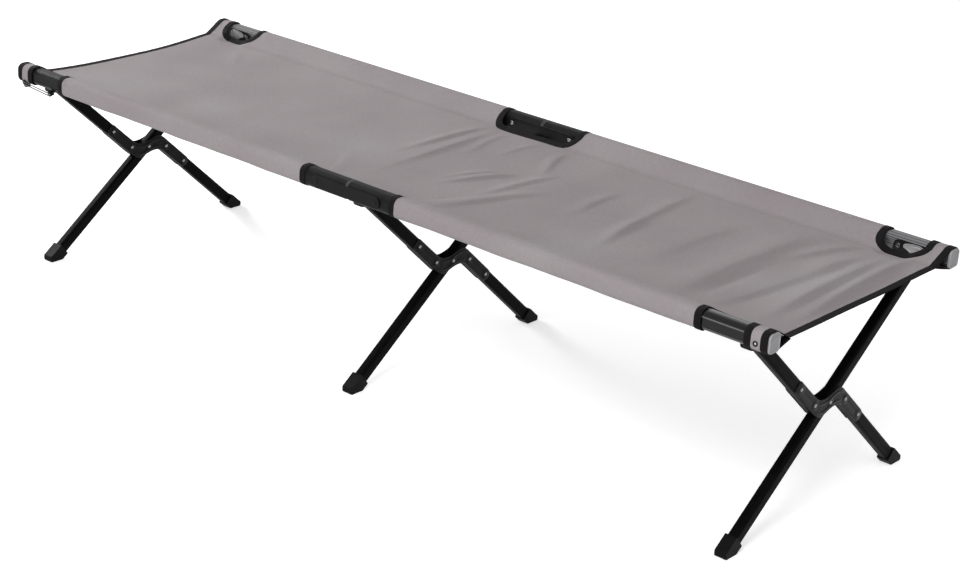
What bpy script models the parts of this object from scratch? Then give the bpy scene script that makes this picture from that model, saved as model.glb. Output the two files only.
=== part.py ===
"""Camping cot: two side rails that fold at the middle, three crossed leg pairs and a sling.

Units are metres and Z is up. X runs along the cot, Y across it, and the floor is z = 0.
The origin is on the floor under the middle of the cot. "Near" is the side at -Y and "right"
the end at +X. In each leg pair the long leg runs from the near foot to the far rail, and the
short legs, an upper and a lower one, run from the near rail to the far foot.
"""

import math

import bmesh
import bpy
from mathutils import Matrix, Vector

# The cot as a whole
COT_LENGTH = 1.900          # over the end plugs
RAIL_Y = 0.277              # rail axis to the middle of the cot
RAIL_Z = 0.411              # rail axis above the floor
SPLIT_X = 0.015             # where the rails fold, with the middle leg pair below
LEG_INSET = 0.0625          # end leg pairs, from the ends of the cot
SWING_INSET = 0.104         # rivets that the end brackets turn on, from the ends of the cot
LINK_HALF = 0.075           # link rivets, from the split

# Clearances
GAP = 0.0003                # between pieces that touch, and round whatever sits in a hole
CHEEK_CLEARANCE = 0.0005    # between a leg and the cheeks beside it
SPLIT_CLEARANCE = 0.0014    # from the split to the end of a rail cap
CUT_CLEARANCE = 0.0031      # from a rail cap to the edge of its cut-out in the sling

# Side rails
RAIL_WIDTH = 0.030
RAIL_HEIGHT = 0.034
RAIL_CORNER = 0.011
RAIL_WALL = 0.0018

# Rail caps, over the rail ends at the split
CAP_LENGTH = 0.1205
CAP_WALL = 0.0012
CAP_FLOOR = 0.0073          # solid end of the cap
CAP_CHAMFER = 0.006         # lets the two caps pass each other as the rails fold

# End plugs
PLUG_HEAD = 0.005
PLUG_INSERT = 0.015

# Leg tubes
LEG_DEPTH = 0.024           # in the plane of the leg pair
LEG_WIDTH = 0.020           # along the cot
LEG_CORNER = 0.005
LEG_WALL = 0.0015
HUB_Z = 0.2036              # where the legs cross
PIN_Y = 0.2435              # top pins
PIN_Z = 0.389
LEG_OFFSET = 0.026          # short legs' axes, from the middle of the hub
PIN_OVERHANG = 0.0068       # leg end past its top pin
SHORT_LEG_START = 0.0205    # inner ends of the short legs, from the middle of the hub
LEG_END_Z = 0.0143          # lower ends of the leg axes above the floor

# Feet
FOOT_WALL = 0.0018
FOOT_TOE = 0.0265           # outwards past the end of the leg's axis
FOOT_CAP = 0.013            # up the leg from its end
FOOT_TOE_RADIUS = 0.003
FOOT_CAP_RADIUS = 0.002

# Hub plates, in the short legs' own directions: along them, and square to them
HUB_PLATE = 0.0015
HUB_ARM_LENGTH = 0.123
HUB_ARM_HALF = 0.0125
HUB_ARM_START = 0.007       # how far each arm runs past the middle
HUB_WAIST_ALONG = 0.012
HUB_WAIST_ACROSS = 0.004
HUB_ELBOW = 0.033
HUB_CORNER = 0.006
HUB_INNER_RIVET = 0.042
HUB_OUTER_RIVET_INSET = 0.013   # from the end of an arm

# Brackets and links
PLATE = 0.0025
CHEEK = 0.0020
CHEEK_REACH = 0.013         # past the top pin, towards the middle of the cot
CHEEK_HALF_HEIGHT = 0.0125
CHEEK_CORNER = 0.008
LOBE_MARGIN = 0.0005        # plate edge beyond the cheeks that stand on it
BRACKET_EYE = 0.011         # plate edge round the swing rivet
BRACKET_CORNER = 0.006
BRACKET_WING = 0.038        # wing under the rail, from the swing rivet towards the middle
LINK_WING = 0.070           # the same under the caps, from the split
WING_LOW = 0.386            # lower edge of the wings above the floor
WING_HIGH = 0.3945
WING_CORNER = 0.003
LINK_HALF_HEIGHT = 0.0115
LINK_END = 0.011            # link plates past their rivets
LOBE_CORNER = 0.004

# Rivets and pins
HUB_RIVET_RADIUS = 0.0025
HUB_RIVET_HEAD_RADIUS = 0.0048
PIN_RADIUS = 0.003
PIN_HEAD_RADIUS = 0.005
THIN_HEAD = 0.0012          # hub rivets and top pins
LINK_RIVET_RADIUS = 0.003
RAIL_RIVET_HEAD_RADIUS = 0.0055
RAIL_RIVET_HEAD = 0.0015    # link and swing rivets
SWING_RIVET_RADIUS = 0.003
WASHER_RADIUS = 0.0075
WASHER = 0.0008
SWING_RIVET_TAIL_RADIUS = 0.0045
ROUND_STEPS = 8
CORNER_STEPS = 2
RAIL_CORNER_STEPS = 3       # the sling's sleeves follow these

# Sling
SLING_THICKNESS = 0.0012
SLING_SAG = 0.006           # of the panel between its two seams
SEAM_Y = 0.226              # seams that close the sleeves, with the panel between them
SEAM_DROP = 0.024           # seams below the tops of the sleeves
SLING_END = 0.010           # from the end plug's face to the sling's hem
END_CUT_INSET = 0.032       # end cut-outs, from the ends of the cot
END_CUT_LENGTH = 0.118
END_CUT_Y = 0.237           # inner edge of the end cut-outs
MIDDLE_CUT_Y = 0.228        # inner edge of the middle cut-outs
PANEL_STEPS = 3             # panel steps from the middle of the cot to a seam

# Working values
WELD = 0.00002              # points closer than this are one point
THROUGH = 3                 # a through cutter's length, in thicknesses of what it cuts
SHARP_EDGE = math.radians(40)
PIVOT_MARK = 0.03           # size of the empties on the joint axes

NEAR, FAR = -1, 1
SIDES = {"near": NEAR, "far": FAR}
ENDS = {"left": -1, "right": 1}

# Rotations that lay a flat outline's own X and Y on two of the cot's axes
YZ_PLANE = Matrix(((0, 0, 1), (1, 0, 0), (0, 1, 0)))
XZ_PLANE = Matrix(((1, 0, 0), (0, 0, -1), (0, 1, 0)))

for old in list(bpy.data.objects):
    bpy.data.objects.remove(old)

parts = bpy.data.collections.new("camping_cot")
cutters = bpy.data.collections.new("cutters")
bpy.context.scene.collection.children.link(parts)
bpy.context.scene.collection.children.link(cutters)


# Materials

def principled(name, colour, roughness, metallic=0.0):
    """A Principled material in one plain colour."""
    material = bpy.data.materials.new(name)
    material.use_nodes = True
    shader = material.node_tree.nodes["Principled BSDF"]
    shader.inputs["Base Color"].default_value = (*colour, 1.0)
    shader.inputs["Roughness"].default_value = roughness
    shader.inputs["Metallic"].default_value = metallic
    return material


SILVER = principled("rail_aluminium", (0.36, 0.36, 0.37), 0.42, 0.9)
SILVER_PLASTIC = principled("plug_plastic", (0.33, 0.33, 0.34), 0.5)
BLACK_PAINT = principled("leg_black", (0.018, 0.018, 0.020), 0.38, 0.3)
BLACK_PLASTIC = principled("cap_plastic", (0.013, 0.013, 0.014), 0.45)
RUBBER = principled("foot_rubber", (0.016, 0.016, 0.017), 0.7)
STEEL = principled("rivet_steel", (0.55, 0.55, 0.56), 0.3, 1.0)
FABRIC = principled("sling_fabric", (0.30, 0.28, 0.275), 0.85)


# Outlines

def rounded(corners, radii, steps=CORNER_STEPS):
    """A closed outline with an arc at each corner, limited to half of the sides beside it."""
    outline = []
    for index, (corner, radius) in enumerate(zip(corners, radii)):
        here = Vector(corner)
        before = Vector(corners[index - 1]) - here
        after = Vector(corners[(index + 1) % len(corners)]) - here
        half_angle = before.angle(after) / 2
        reach = min(radius / math.tan(half_angle), before.length / 2, after.length / 2)
        middle = (before.normalized() + after.normalized()).normalized()
        centre = here + middle * (reach / math.cos(half_angle))
        spoke = here + before.normalized() * reach - centre
        turn = math.copysign(math.pi - 2 * half_angle, before.cross(after))
        for step in range(steps + 1):
            point = centre + Matrix.Rotation(-turn * step / steps, 2) @ spoke
            if not outline or (point - outline[-1]).length > WELD:
                outline.append(point)
    if (outline[0] - outline[-1]).length <= WELD:
        outline.pop()
    return outline


def rectangle(width, height, radius, centre=(0.0, 0.0), steps=CORNER_STEPS):
    """A rectangle with round corners."""
    left, right = centre[0] - width / 2, centre[0] + width / 2
    bottom, top = centre[1] - height / 2, centre[1] + height / 2
    corners = [(left, bottom), (right, bottom), (right, top), (left, top)]
    return rounded(corners, [radius] * len(corners), steps)


def rail_section(grow=0.0):
    """Outer outline of a rail, grown by a clearance or a wall."""
    width = RAIL_WIDTH + 2 * grow
    height = RAIL_HEIGHT + 2 * grow
    return rectangle(width, height, RAIL_CORNER + grow, steps=RAIL_CORNER_STEPS)


def leg_section(grow=0.0):
    """Outer outline of a leg tube, grown by a clearance or a wall."""
    return rectangle(LEG_WIDTH + 2 * grow, LEG_DEPTH + 2 * grow, LEG_CORNER + grow)


def hole_radius(shank):
    """Radius of a faceted hole whose flats clear the shank by the gap."""
    return (shank + GAP) / math.cos(math.pi / ROUND_STEPS)


def hole(centre, shank):
    """Outline of the hole for a shank."""
    radius = hole_radius(shank)
    angles = [2 * math.pi * step / ROUND_STEPS for step in range(ROUND_STEPS)]
    return [Vector(centre) + radius * Vector((math.cos(angle), math.sin(angle))) for angle in angles]


# Building pieces

def place(rotation, location):
    """A 4 x 4 matrix from a rotation and a location."""
    return Matrix.Translation(location) @ rotation.to_4x4()


def add_object(name, mesh, matrix, material, collection=parts):
    """Link a mesh as a named object."""
    piece = bpy.data.objects.new(name, mesh)
    piece.matrix_basis = matrix
    collection.objects.link(piece)
    if material:
        mesh.materials.append(material)
    if collection == cutters:
        piece.hide_render = True
        piece.display_type = "WIRE"
    return piece


def shade_round(mesh):
    """Smooth shading everywhere but across the sharp edges."""
    mesh.shade_smooth()
    mesh.set_sharp_from_angle(angle=SHARP_EDGE)


def lies_flat(face):
    """Whether a face is square to its mesh's own Z."""
    heights = [vertex.co.z for vertex in face.verts]
    return max(heights) - min(heights) < WELD


def prism_mesh(name, outlines, depth):
    """A flat outline, with any holes in it, given its thickness about its own plane."""
    curve = bpy.data.curves.new(name, "CURVE")
    curve.dimensions = "2D"
    curve.fill_mode = "BOTH"
    curve.extrude = depth / 2
    for outline in outlines:
        spline = curve.splines.new("POLY")
        spline.points.add(len(outline) - 1)
        for point, (x, y) in zip(spline.points, outline):
            point.co = (x, y, 0, 1)
        spline.use_cyclic_u = True
    guide = bpy.data.objects.new(name, curve)
    cutters.objects.link(guide)
    evaluated = guide.evaluated_get(bpy.context.evaluated_depsgraph_get())
    mesh = bpy.data.meshes.new_from_object(evaluated)
    bpy.data.objects.remove(guide)
    bpy.data.curves.remove(curve)
    solid = bmesh.new()
    solid.from_mesh(mesh)
    bmesh.ops.remove_doubles(solid, verts=solid.verts, dist=WELD)
    caps = [face for face in solid.faces if lies_flat(face)]
    inner_edges = [edge for edge in solid.edges if all(lies_flat(face) for face in edge.link_faces)]
    bmesh.ops.beautify_fill(solid, faces=caps, edges=inner_edges, method="ANGLE")
    bmesh.ops.recalc_face_normals(solid, faces=solid.faces)
    solid.to_mesh(mesh)
    solid.free()
    mesh.name = name
    shade_round(mesh)
    return mesh


def prism(name, outlines, depth, matrix, material, collection=parts):
    """A prism as an object."""
    return add_object(name, prism_mesh(name, outlines, depth), matrix, material, collection)


def combine(piece, tool, operation):
    """Cut a tool out of a piece, or join it on, and let it move with the piece."""
    tool.parent = piece
    tool.matrix_parent_inverse = piece.matrix_basis.inverted()
    modifier = piece.modifiers.new(tool.name, "BOOLEAN")
    modifier.operation = operation
    modifier.solver = "EXACT"
    modifier.object = tool


def drill(piece, centres, rotation, shank, depth):
    """Round holes for a shank, all along one direction, through whatever lies within the depth."""
    solid = bmesh.new()
    for centre in centres:
        bmesh.ops.create_cone(solid, cap_ends=True, segments=ROUND_STEPS, depth=depth,
                              radius1=hole_radius(shank), radius2=hole_radius(shank),
                              matrix=place(rotation, centre))
    mesh = bpy.data.meshes.new(piece.name + "_holes")
    solid.to_mesh(mesh)
    solid.free()
    drills = add_object(piece.name + "_holes", mesh, Matrix.Identity(4), None, cutters)
    combine(piece, drills, "DIFFERENCE")


def turned(name, profile, places, rotation, material, collection=parts):
    """A turned piece at each of the places, as one object."""
    mesh = bpy.data.meshes.new(name + "_profile")
    edges = [(index, index + 1) for index in range(len(profile) - 1)]
    mesh.from_pydata([(radius, 0, height) for radius, height in profile], edges, [])
    guide = add_object(name + "_profile", mesh, Matrix.Identity(4), None, cutters)
    screw = guide.modifiers.new("turn", "SCREW")
    screw.steps = ROUND_STEPS
    screw.render_steps = ROUND_STEPS
    screw.use_merge_vertices = True
    screw.merge_threshold = WELD
    evaluated = guide.evaluated_get(bpy.context.evaluated_depsgraph_get())
    body = bpy.data.meshes.new_from_object(evaluated)
    bpy.data.objects.remove(guide)
    solid = bmesh.new()
    for centre in places:
        copy = body.copy()
        copy.transform(place(rotation, centre))
        solid.from_mesh(copy)
        bpy.data.meshes.remove(copy)
    group = bpy.data.meshes.new(name)
    solid.to_mesh(group)
    solid.free()
    shade_round(group)
    return add_object(name, group, Matrix.Identity(4), material, collection)


def pin_profile(shank, head, thickness, low, high, upper_seat=0.0):
    """Profile of a pin with a head at each end, from its upper end down.

    The upper head reaches down by the seat, into the plate that a fused rivet belongs to.
    """
    top = high + thickness
    bottom = low - thickness
    seat = high - upper_seat
    return [(0, top), (head, top), (head, seat), (shank, seat),
            (shank, low), (head, low), (head, bottom), (0, bottom)]


# Pivots: an empty on each joint's axis carries the pieces that turn about it

def pivot(name, location, carrier=None):
    """An empty at a joint, riding on the body that carries the joint."""
    empty = bpy.data.objects.new(name, None)
    empty.empty_display_size = PIVOT_MARK
    empty.location = location
    parts.objects.link(empty)
    if carrier:
        ride(empty, carrier)
    return empty


def ride(piece, carrier):
    """Parent a piece to a pivot and leave it where it is."""
    piece.parent = carrier
    piece.matrix_parent_inverse = Matrix.Translation(-carrier.location)
    return piece


def pin_place(x, side):
    """Where a top pin crosses its leg."""
    return Vector((x, side * PIN_Y, PIN_Z))


leg_x = COT_LENGTH / 2 - LEG_INSET
swing_x = COT_LENGTH / 2 - SWING_INSET
near_link = pivot("near_link_pivot", (SPLIT_X + LINK_HALF, NEAR * RAIL_Y, RAIL_Z))
near_left = pivot("near_rail_left_pivot", (SPLIT_X - LINK_HALF, NEAR * RAIL_Y, RAIL_Z), near_link)
near_carriers = {
    "right": pivot("near_bracket_right_pivot", (swing_x, NEAR * RAIL_Y, RAIL_Z)),
    "middle": near_link,
    "left": pivot("near_bracket_left_pivot", (-swing_x, NEAR * RAIL_Y, RAIL_Z), near_left),
}
leg_planes = {"left": -leg_x, "middle": SPLIT_X, "right": leg_x}
short_legs = {}
long_legs = {}
far_carriers = {}
for pair, x in leg_planes.items():
    short_legs[pair] = pivot(pair + "_short_leg_pivot", pin_place(x, NEAR), near_carriers[pair])
    long_legs[pair] = pivot(pair + "_long_leg_pivot", (x, 0, HUB_Z), short_legs[pair])
    far_carriers[pair] = pivot("far_" + pair + "_pivot", pin_place(x, FAR), long_legs[pair])
far_right = pivot("far_rail_right_pivot", (SPLIT_X + LINK_HALF, FAR * RAIL_Y, RAIL_Z), far_carriers["middle"])
far_left = pivot("far_rail_left_pivot", (SPLIT_X - LINK_HALF, FAR * RAIL_Y, RAIL_Z), far_carriers["middle"])
rail_carriers = {("near", "right"): None, ("near", "left"): near_left,
                 ("far", "right"): far_right, ("far", "left"): far_left}


def on_rail(piece, side_name, end_name):
    """Let a piece move with its rail; the near right rail stands still."""
    carrier = rail_carriers[side_name, end_name]
    if carrier:
        ride(piece, carrier)


def outwards(side):
    """Rotation that lays a turned piece's own Z across the cot, away from the middle."""
    return Matrix(((1, 0, 0), (0, 0, side), (0, -side, 0)))


# Side rails with their plugs and caps

rail_end = COT_LENGTH / 2 - PLUG_HEAD
cap_width = RAIL_WIDTH + 2 * (GAP + CAP_WALL)


def make_rail(name, side, end, link_rivet):
    """A hollow rail, from the floor of its cap to its end plug."""
    inner = SPLIT_X + end * (SPLIT_CLEARANCE + CAP_FLOOR + GAP)
    outer = end * (rail_end - GAP)
    rail = prism(name, [rail_section(), rail_section(-RAIL_WALL)], abs(outer - inner),
                 place(YZ_PLANE, ((inner + outer) / 2, side * RAIL_Y, RAIL_Z)), SILVER)
    drill(rail, [link_rivet], outwards(side), LINK_RIVET_RADIUS, THROUGH * RAIL_WIDTH)
    inner_wall = Vector((end * swing_x, side * (RAIL_Y - RAIL_WIDTH / 2), RAIL_Z))
    swing_drill = prism(name + "_swing_hole", [hole((0, 0), SWING_RIVET_RADIUS)], THROUGH * RAIL_WALL,
                        place(outwards(side), inner_wall), None, cutters)
    combine(rail, swing_drill, "DIFFERENCE")
    return rail


def make_plug(name, side, end):
    """A plug whose head covers the rail end and whose insert sits in the bore."""
    face = Vector((end * (rail_end + PLUG_HEAD / 2), side * RAIL_Y, RAIL_Z))
    plug = prism(name, [rail_section()], PLUG_HEAD, place(YZ_PLANE, face), SILVER_PLASTIC)
    insert_centre = face - Vector((end * (PLUG_INSERT + PLUG_HEAD / 2) / 2, 0, 0))
    insert = prism(name + "_insert", [rail_section(-RAIL_WALL - GAP)], PLUG_INSERT + PLUG_HEAD / 2,
                   place(YZ_PLANE, insert_centre), None, cutters)
    combine(plug, insert, "UNION")
    return plug


def make_cap(name, side, end, link_rivet):
    """A cap over the rail's inner end, solid at the split and chamfered below."""
    face_x = SPLIT_X + end * SPLIT_CLEARANCE
    middle = (face_x + end * CAP_LENGTH / 2, side * RAIL_Y, RAIL_Z)
    cap = prism(name, [rail_section(GAP + CAP_WALL)], CAP_LENGTH, place(YZ_PLANE, middle), BLACK_PLASTIC)
    bore_centre = (face_x + end * (CAP_FLOOR + CAP_LENGTH / 2), side * RAIL_Y, RAIL_Z)
    bore = prism(name + "_bore", [rail_section(GAP)], CAP_LENGTH, place(YZ_PLANE, bore_centre), None, cutters)
    combine(cap, bore, "DIFFERENCE")
    bottom = RAIL_Z - RAIL_HEIGHT / 2 - GAP - CAP_WALL
    corner = Vector((face_x, side * RAIL_Y, bottom))
    wedge = [(-end * CAP_CHAMFER, -CAP_CHAMFER), (-end * CAP_CHAMFER, 2 * CAP_CHAMFER),
             (2 * end * CAP_CHAMFER, -CAP_CHAMFER)]
    chamfer = prism(name + "_chamfer", [wedge], THROUGH * cap_width, place(XZ_PLANE, corner), None, cutters)
    combine(cap, chamfer, "DIFFERENCE")
    drill(cap, [link_rivet], outwards(side), LINK_RIVET_RADIUS, THROUGH * cap_width)
    return cap


for side_name, side in SIDES.items():
    for end_name, end in ENDS.items():
        link_rivet = Vector((SPLIT_X + end * LINK_HALF, side * RAIL_Y, RAIL_Z))
        rail = make_rail(f"{side_name}_rail_{end_name}", side, end, link_rivet)
        plug = make_plug(f"{side_name}_plug_{end_name}", side, end)
        cap = make_cap(f"{side_name}_cap_{end_name}", side, end, link_rivet)
        for piece in (rail, plug, cap):
            on_rail(piece, side_name, end_name)


# Brackets and links: a plate beside the rail, with two cheeks that hold a leg's top pin

cheek_face = LEG_WIDTH / 2 + CHEEK_CLEARANCE
cheek_outside = cheek_face + CHEEK
lobe_half = cheek_outside + LOBE_MARGIN
lobe_bottom = PIN_Z - CHEEK_HALF_HEIGHT - LOBE_MARGIN
bracket_plate_y = RAIL_Y - RAIL_WIDTH / 2 - GAP - PLATE / 2
link_plate_y = RAIL_Y - cap_width / 2 - GAP - PLATE / 2
outer_link_y = RAIL_Y + cap_width / 2 + GAP + PLATE / 2


def make_hanger(name, side, plate_y, outlines, leg_x):
    """A plate with its two cheeks joined on."""
    plate = prism(name, outlines, PLATE, place(XZ_PLANE, (0, side * plate_y, 0)), BLACK_PAINT)
    inner_edge = PIN_Y - CHEEK_REACH
    corners = [(side * y, z) for y, z in ((inner_edge, PIN_Z - CHEEK_HALF_HEIGHT),
                                          (plate_y, PIN_Z - CHEEK_HALF_HEIGHT),
                                          (plate_y, PIN_Z + CHEEK_HALF_HEIGHT),
                                          (inner_edge, PIN_Z + CHEEK_HALF_HEIGHT))]
    cheek = [rounded(corners, (CHEEK_CORNER, 0, 0, CHEEK_CORNER)), hole((side * PIN_Y, PIN_Z), PIN_RADIUS)]
    for suffix, direction in (("_front", 1), ("_back", -1)):
        x = leg_x + direction * (cheek_face + CHEEK / 2)
        combine(plate, prism(name + suffix, cheek, CHEEK, place(YZ_PLANE, (x, 0, 0)), None, cutters), "UNION")
    return plate


def bracket_outlines(end):
    """An arm from the swing rivet to the leg plane, with a lobe below and a wing under the rail."""
    eye = swing_x - BRACKET_EYE
    top = RAIL_Z + BRACKET_EYE
    wing = swing_x - BRACKET_WING
    corners = [(wing, WING_LOW), (leg_x - lobe_half, WING_LOW), (leg_x - lobe_half, lobe_bottom),
               (leg_x + lobe_half, lobe_bottom), (leg_x + lobe_half, top), (eye, top),
               (eye, WING_HIGH), (wing, WING_HIGH)]
    radii = (WING_CORNER, WING_CORNER, LOBE_CORNER, LOBE_CORNER, BRACKET_CORNER, BRACKET_EYE,
             WING_CORNER, WING_CORNER)
    plate = rounded([(end * x, z) for x, z in corners], radii)
    return [plate, hole((end * swing_x, RAIL_Z), SWING_RIVET_RADIUS)]


def link_holes():
    """Holes for the two rivets of a link."""
    return [hole((SPLIT_X + end * LINK_HALF, RAIL_Z), LINK_RIVET_RADIUS) for end in ENDS.values()]


def inner_link_outlines():
    """A bar between the link rivets, with a wing under each cap and a lobe over the middle leg pair."""
    half = LINK_HALF + LINK_END
    low = RAIL_Z - LINK_HALF_HEIGHT
    high = RAIL_Z + LINK_HALF_HEIGHT
    right_half = [(lobe_half, lobe_bottom), (lobe_half, WING_LOW), (LINK_WING, WING_LOW), (LINK_WING, low),
                  (half, low), (half, high)]
    corners = right_half + [(-x, z) for x, z in reversed(right_half)]
    radii = [LOBE_CORNER] + [WING_CORNER] * 3 + [LINK_HALF_HEIGHT] * 2
    outline = rounded([(SPLIT_X + x, z) for x, z in corners], radii + radii[::-1])
    return [outline] + link_holes()


for side_name, side in SIDES.items():
    carriers = near_carriers if side == NEAR else far_carriers
    inner = make_hanger(side_name + "_link_inner", side, link_plate_y, inner_link_outlines(), SPLIT_X)
    bar = rectangle(2 * (LINK_HALF + LINK_END), 2 * LINK_HALF_HEIGHT, LINK_HALF_HEIGHT, (SPLIT_X, RAIL_Z))
    outer = prism(side_name + "_link_outer", [bar], PLATE,
                  place(XZ_PLANE, (0, side * outer_link_y, 0)), BLACK_PAINT)
    link_profile = pin_profile(LINK_RIVET_RADIUS, RAIL_RIVET_HEAD_RADIUS, RAIL_RIVET_HEAD,
                               link_plate_y - PLATE / 2 - GAP, outer_link_y + PLATE / 2, PLATE / 2)
    link_rivets = turned(side_name + "_link_rivets", link_profile,
                         [(SPLIT_X + end * LINK_HALF, 0, RAIL_Z) for end in ENDS.values()],
                         outwards(side), STEEL, cutters)
    combine(outer, link_rivets, "UNION")
    for piece in (inner, outer):
        ride(piece, carriers["middle"])
    for end_name, end in ENDS.items():
        bracket = make_hanger(f"{side_name}_bracket_{end_name}", side, bracket_plate_y,
                              bracket_outlines(end), end * leg_x)
        ride(bracket, carriers[end_name])
        washer_face = bracket_plate_y - PLATE / 2 - GAP
        head_face = washer_face - WASHER
        tail = RAIL_Y - RAIL_WIDTH / 2 + RAIL_WALL + GAP
        profile = [(0, tail + RAIL_RIVET_HEAD), (SWING_RIVET_TAIL_RADIUS, tail + RAIL_RIVET_HEAD),
                   (SWING_RIVET_TAIL_RADIUS, tail), (SWING_RIVET_RADIUS, tail),
                   (SWING_RIVET_RADIUS, washer_face), (WASHER_RADIUS, washer_face),
                   (WASHER_RADIUS, head_face), (RAIL_RIVET_HEAD_RADIUS, head_face),
                   (RAIL_RIVET_HEAD_RADIUS, head_face - RAIL_RIVET_HEAD), (0, head_face - RAIL_RIVET_HEAD)]
        rivet = turned(f"{side_name}_bracket_rivet_{end_name}", profile,
                       [(end * swing_x, 0, RAIL_Z)], outwards(side), STEEL)
        on_rail(rivet, side_name, end_name)


# Leg pairs, drawn in their own (y, z) plane

hub = Vector((0, HUB_Z))
far_pin = Vector((PIN_Y, PIN_Z))
near_pin = Vector((-PIN_Y, PIN_Z))
long_up = (far_pin - hub).normalized()
pin_to_hub = (hub - near_pin).length
short_slope = math.atan2(PIN_Z - HUB_Z, PIN_Y) + math.asin(LEG_OFFSET / pin_to_hub)
short_down = Vector((math.cos(short_slope), -math.sin(short_slope)))
short_normal = Vector((math.sin(short_slope), math.cos(short_slope)))
hub_rotation = Matrix(((0, 0, 1), (short_down.x, short_normal.x, 0), (short_down.y, short_normal.y, 0)))
plate_centre = LEG_WIDTH / 2 + GAP + HUB_PLATE / 2


def hub_point(along, across):
    """A point given along the short legs and square to them, from the middle of the hub."""
    return hub + short_down * along + short_normal * across


upper_start = near_pin - short_down * PIN_OVERHANG
upper_end = hub_point(-SHORT_LEG_START, -LEG_OFFSET)
lower_start = hub_point(SHORT_LEG_START, LEG_OFFSET)
lower_end = lower_start + short_down * ((lower_start.y - LEG_END_Z) / -short_down.y)
long_start = far_pin + long_up * PIN_OVERHANG
long_end = hub - long_up * ((HUB_Z - LEG_END_Z) / long_up.y)
hub_rivets = (HUB_INNER_RIVET, HUB_ARM_LENGTH - HUB_OUTER_RIVET_INSET)
upper_rivets = [(-distance, -LEG_OFFSET) for distance in hub_rivets]
lower_rivets = [(distance, LEG_OFFSET) for distance in hub_rivets]


def leg_rotation(direction):
    """Rotation that lays a prism's own Z along a leg and its own X along the cot."""
    return Matrix(((1, 0, 0), (0, direction.y, direction.x), (0, -direction.x, direction.y)))


def make_leg(name, x, start, end, holes):
    """A hollow leg tube from start to end, drilled along X at the given points and radii."""
    direction = (end - start).normalized()
    middle = (start + end) / 2
    leg = prism(name, [leg_section(), leg_section(-LEG_WALL)], (end - start).length,
                place(leg_rotation(direction), (x, middle.x, middle.y)), BLACK_PAINT)
    for number, (point, shank) in enumerate(holes):
        bore = prism(f"{name}_hole_{number}", [hole((point.x, point.y), shank)], THROUGH * LEG_WIDTH,
                     place(YZ_PLANE, (x, 0, 0)), None, cutters)
        combine(leg, bore, "DIFFERENCE")
    return leg


def foot_outline(end, direction):
    """A cap along the leg that ends in a flat sole and an upright toe."""
    side = math.copysign(1, direction.x)
    upper = Vector((-direction.y, direction.x)) * side
    half = LEG_DEPTH / 2 + GAP + FOOT_WALL
    underside = end - upper * half
    topside = end + upper * half
    toe = end.x + side * FOOT_TOE
    heel = underside + direction * (underside.y / -direction.y)
    toe_top = topside + direction * ((toe - topside.x) / direction.x)
    corners = [(toe, 0), heel, underside - direction * FOOT_CAP, topside - direction * FOOT_CAP, toe_top]
    radii = (FOOT_TOE_RADIUS, FOOT_TOE_RADIUS, FOOT_CAP_RADIUS, FOOT_CAP_RADIUS, FOOT_TOE_RADIUS)
    return rounded(corners, radii)


def make_foot(name, x, end, direction):
    """A rubber foot with a pocket for the end of its leg."""
    foot = prism(name, [foot_outline(end, direction)], LEG_WIDTH + 2 * (GAP + FOOT_WALL),
                 place(YZ_PLANE, (x, 0, 0)), RUBBER)
    middle = end + direction * (GAP - FOOT_CAP)
    pocket = prism(name + "_pocket", [leg_section(GAP)], 2 * FOOT_CAP,
                   place(leg_rotation(direction), (x, middle.x, middle.y)), None, cutters)
    combine(foot, pocket, "DIFFERENCE")
    return foot


def hub_outline():
    """A plate along each short leg, joined by a waist across the long leg."""
    far_edge = LEG_OFFSET + HUB_ARM_HALF
    near_edge = LEG_OFFSET - HUB_ARM_HALF
    half = [(-HUB_ARM_LENGTH, -far_edge), (-HUB_ARM_START, -far_edge),
            (HUB_WAIST_ALONG, -HUB_WAIST_ACROSS), (HUB_ELBOW, near_edge), (HUB_ARM_LENGTH, near_edge)]
    corners = half + [(-along, -across) for along, across in half]
    return rounded(corners, [HUB_CORNER] * len(corners))


front_plate = [hub_outline(), hole((0, 0), HUB_RIVET_RADIUS)]
back_plate = front_plate + [hole(point, HUB_RIVET_RADIUS) for point in upper_rivets + lower_rivets]
pin_ends = cheek_outside + GAP
plate_outside = plate_centre + HUB_PLATE / 2
pin_outline = pin_profile(PIN_RADIUS, PIN_HEAD_RADIUS, THIN_HEAD, -pin_ends, pin_ends)
pivot_outline = pin_profile(HUB_RIVET_RADIUS, HUB_RIVET_HEAD_RADIUS, THIN_HEAD,
                            -plate_outside - GAP, plate_outside + GAP)
rivet_outline = pin_profile(HUB_RIVET_RADIUS, HUB_RIVET_HEAD_RADIUS, THIN_HEAD,
                            -plate_outside - GAP, plate_outside, HUB_PLATE / 2)
upper_points = [hub_point(*rivet) for rivet in upper_rivets]
lower_points = [hub_point(*rivet) for rivet in lower_rivets]

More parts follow.
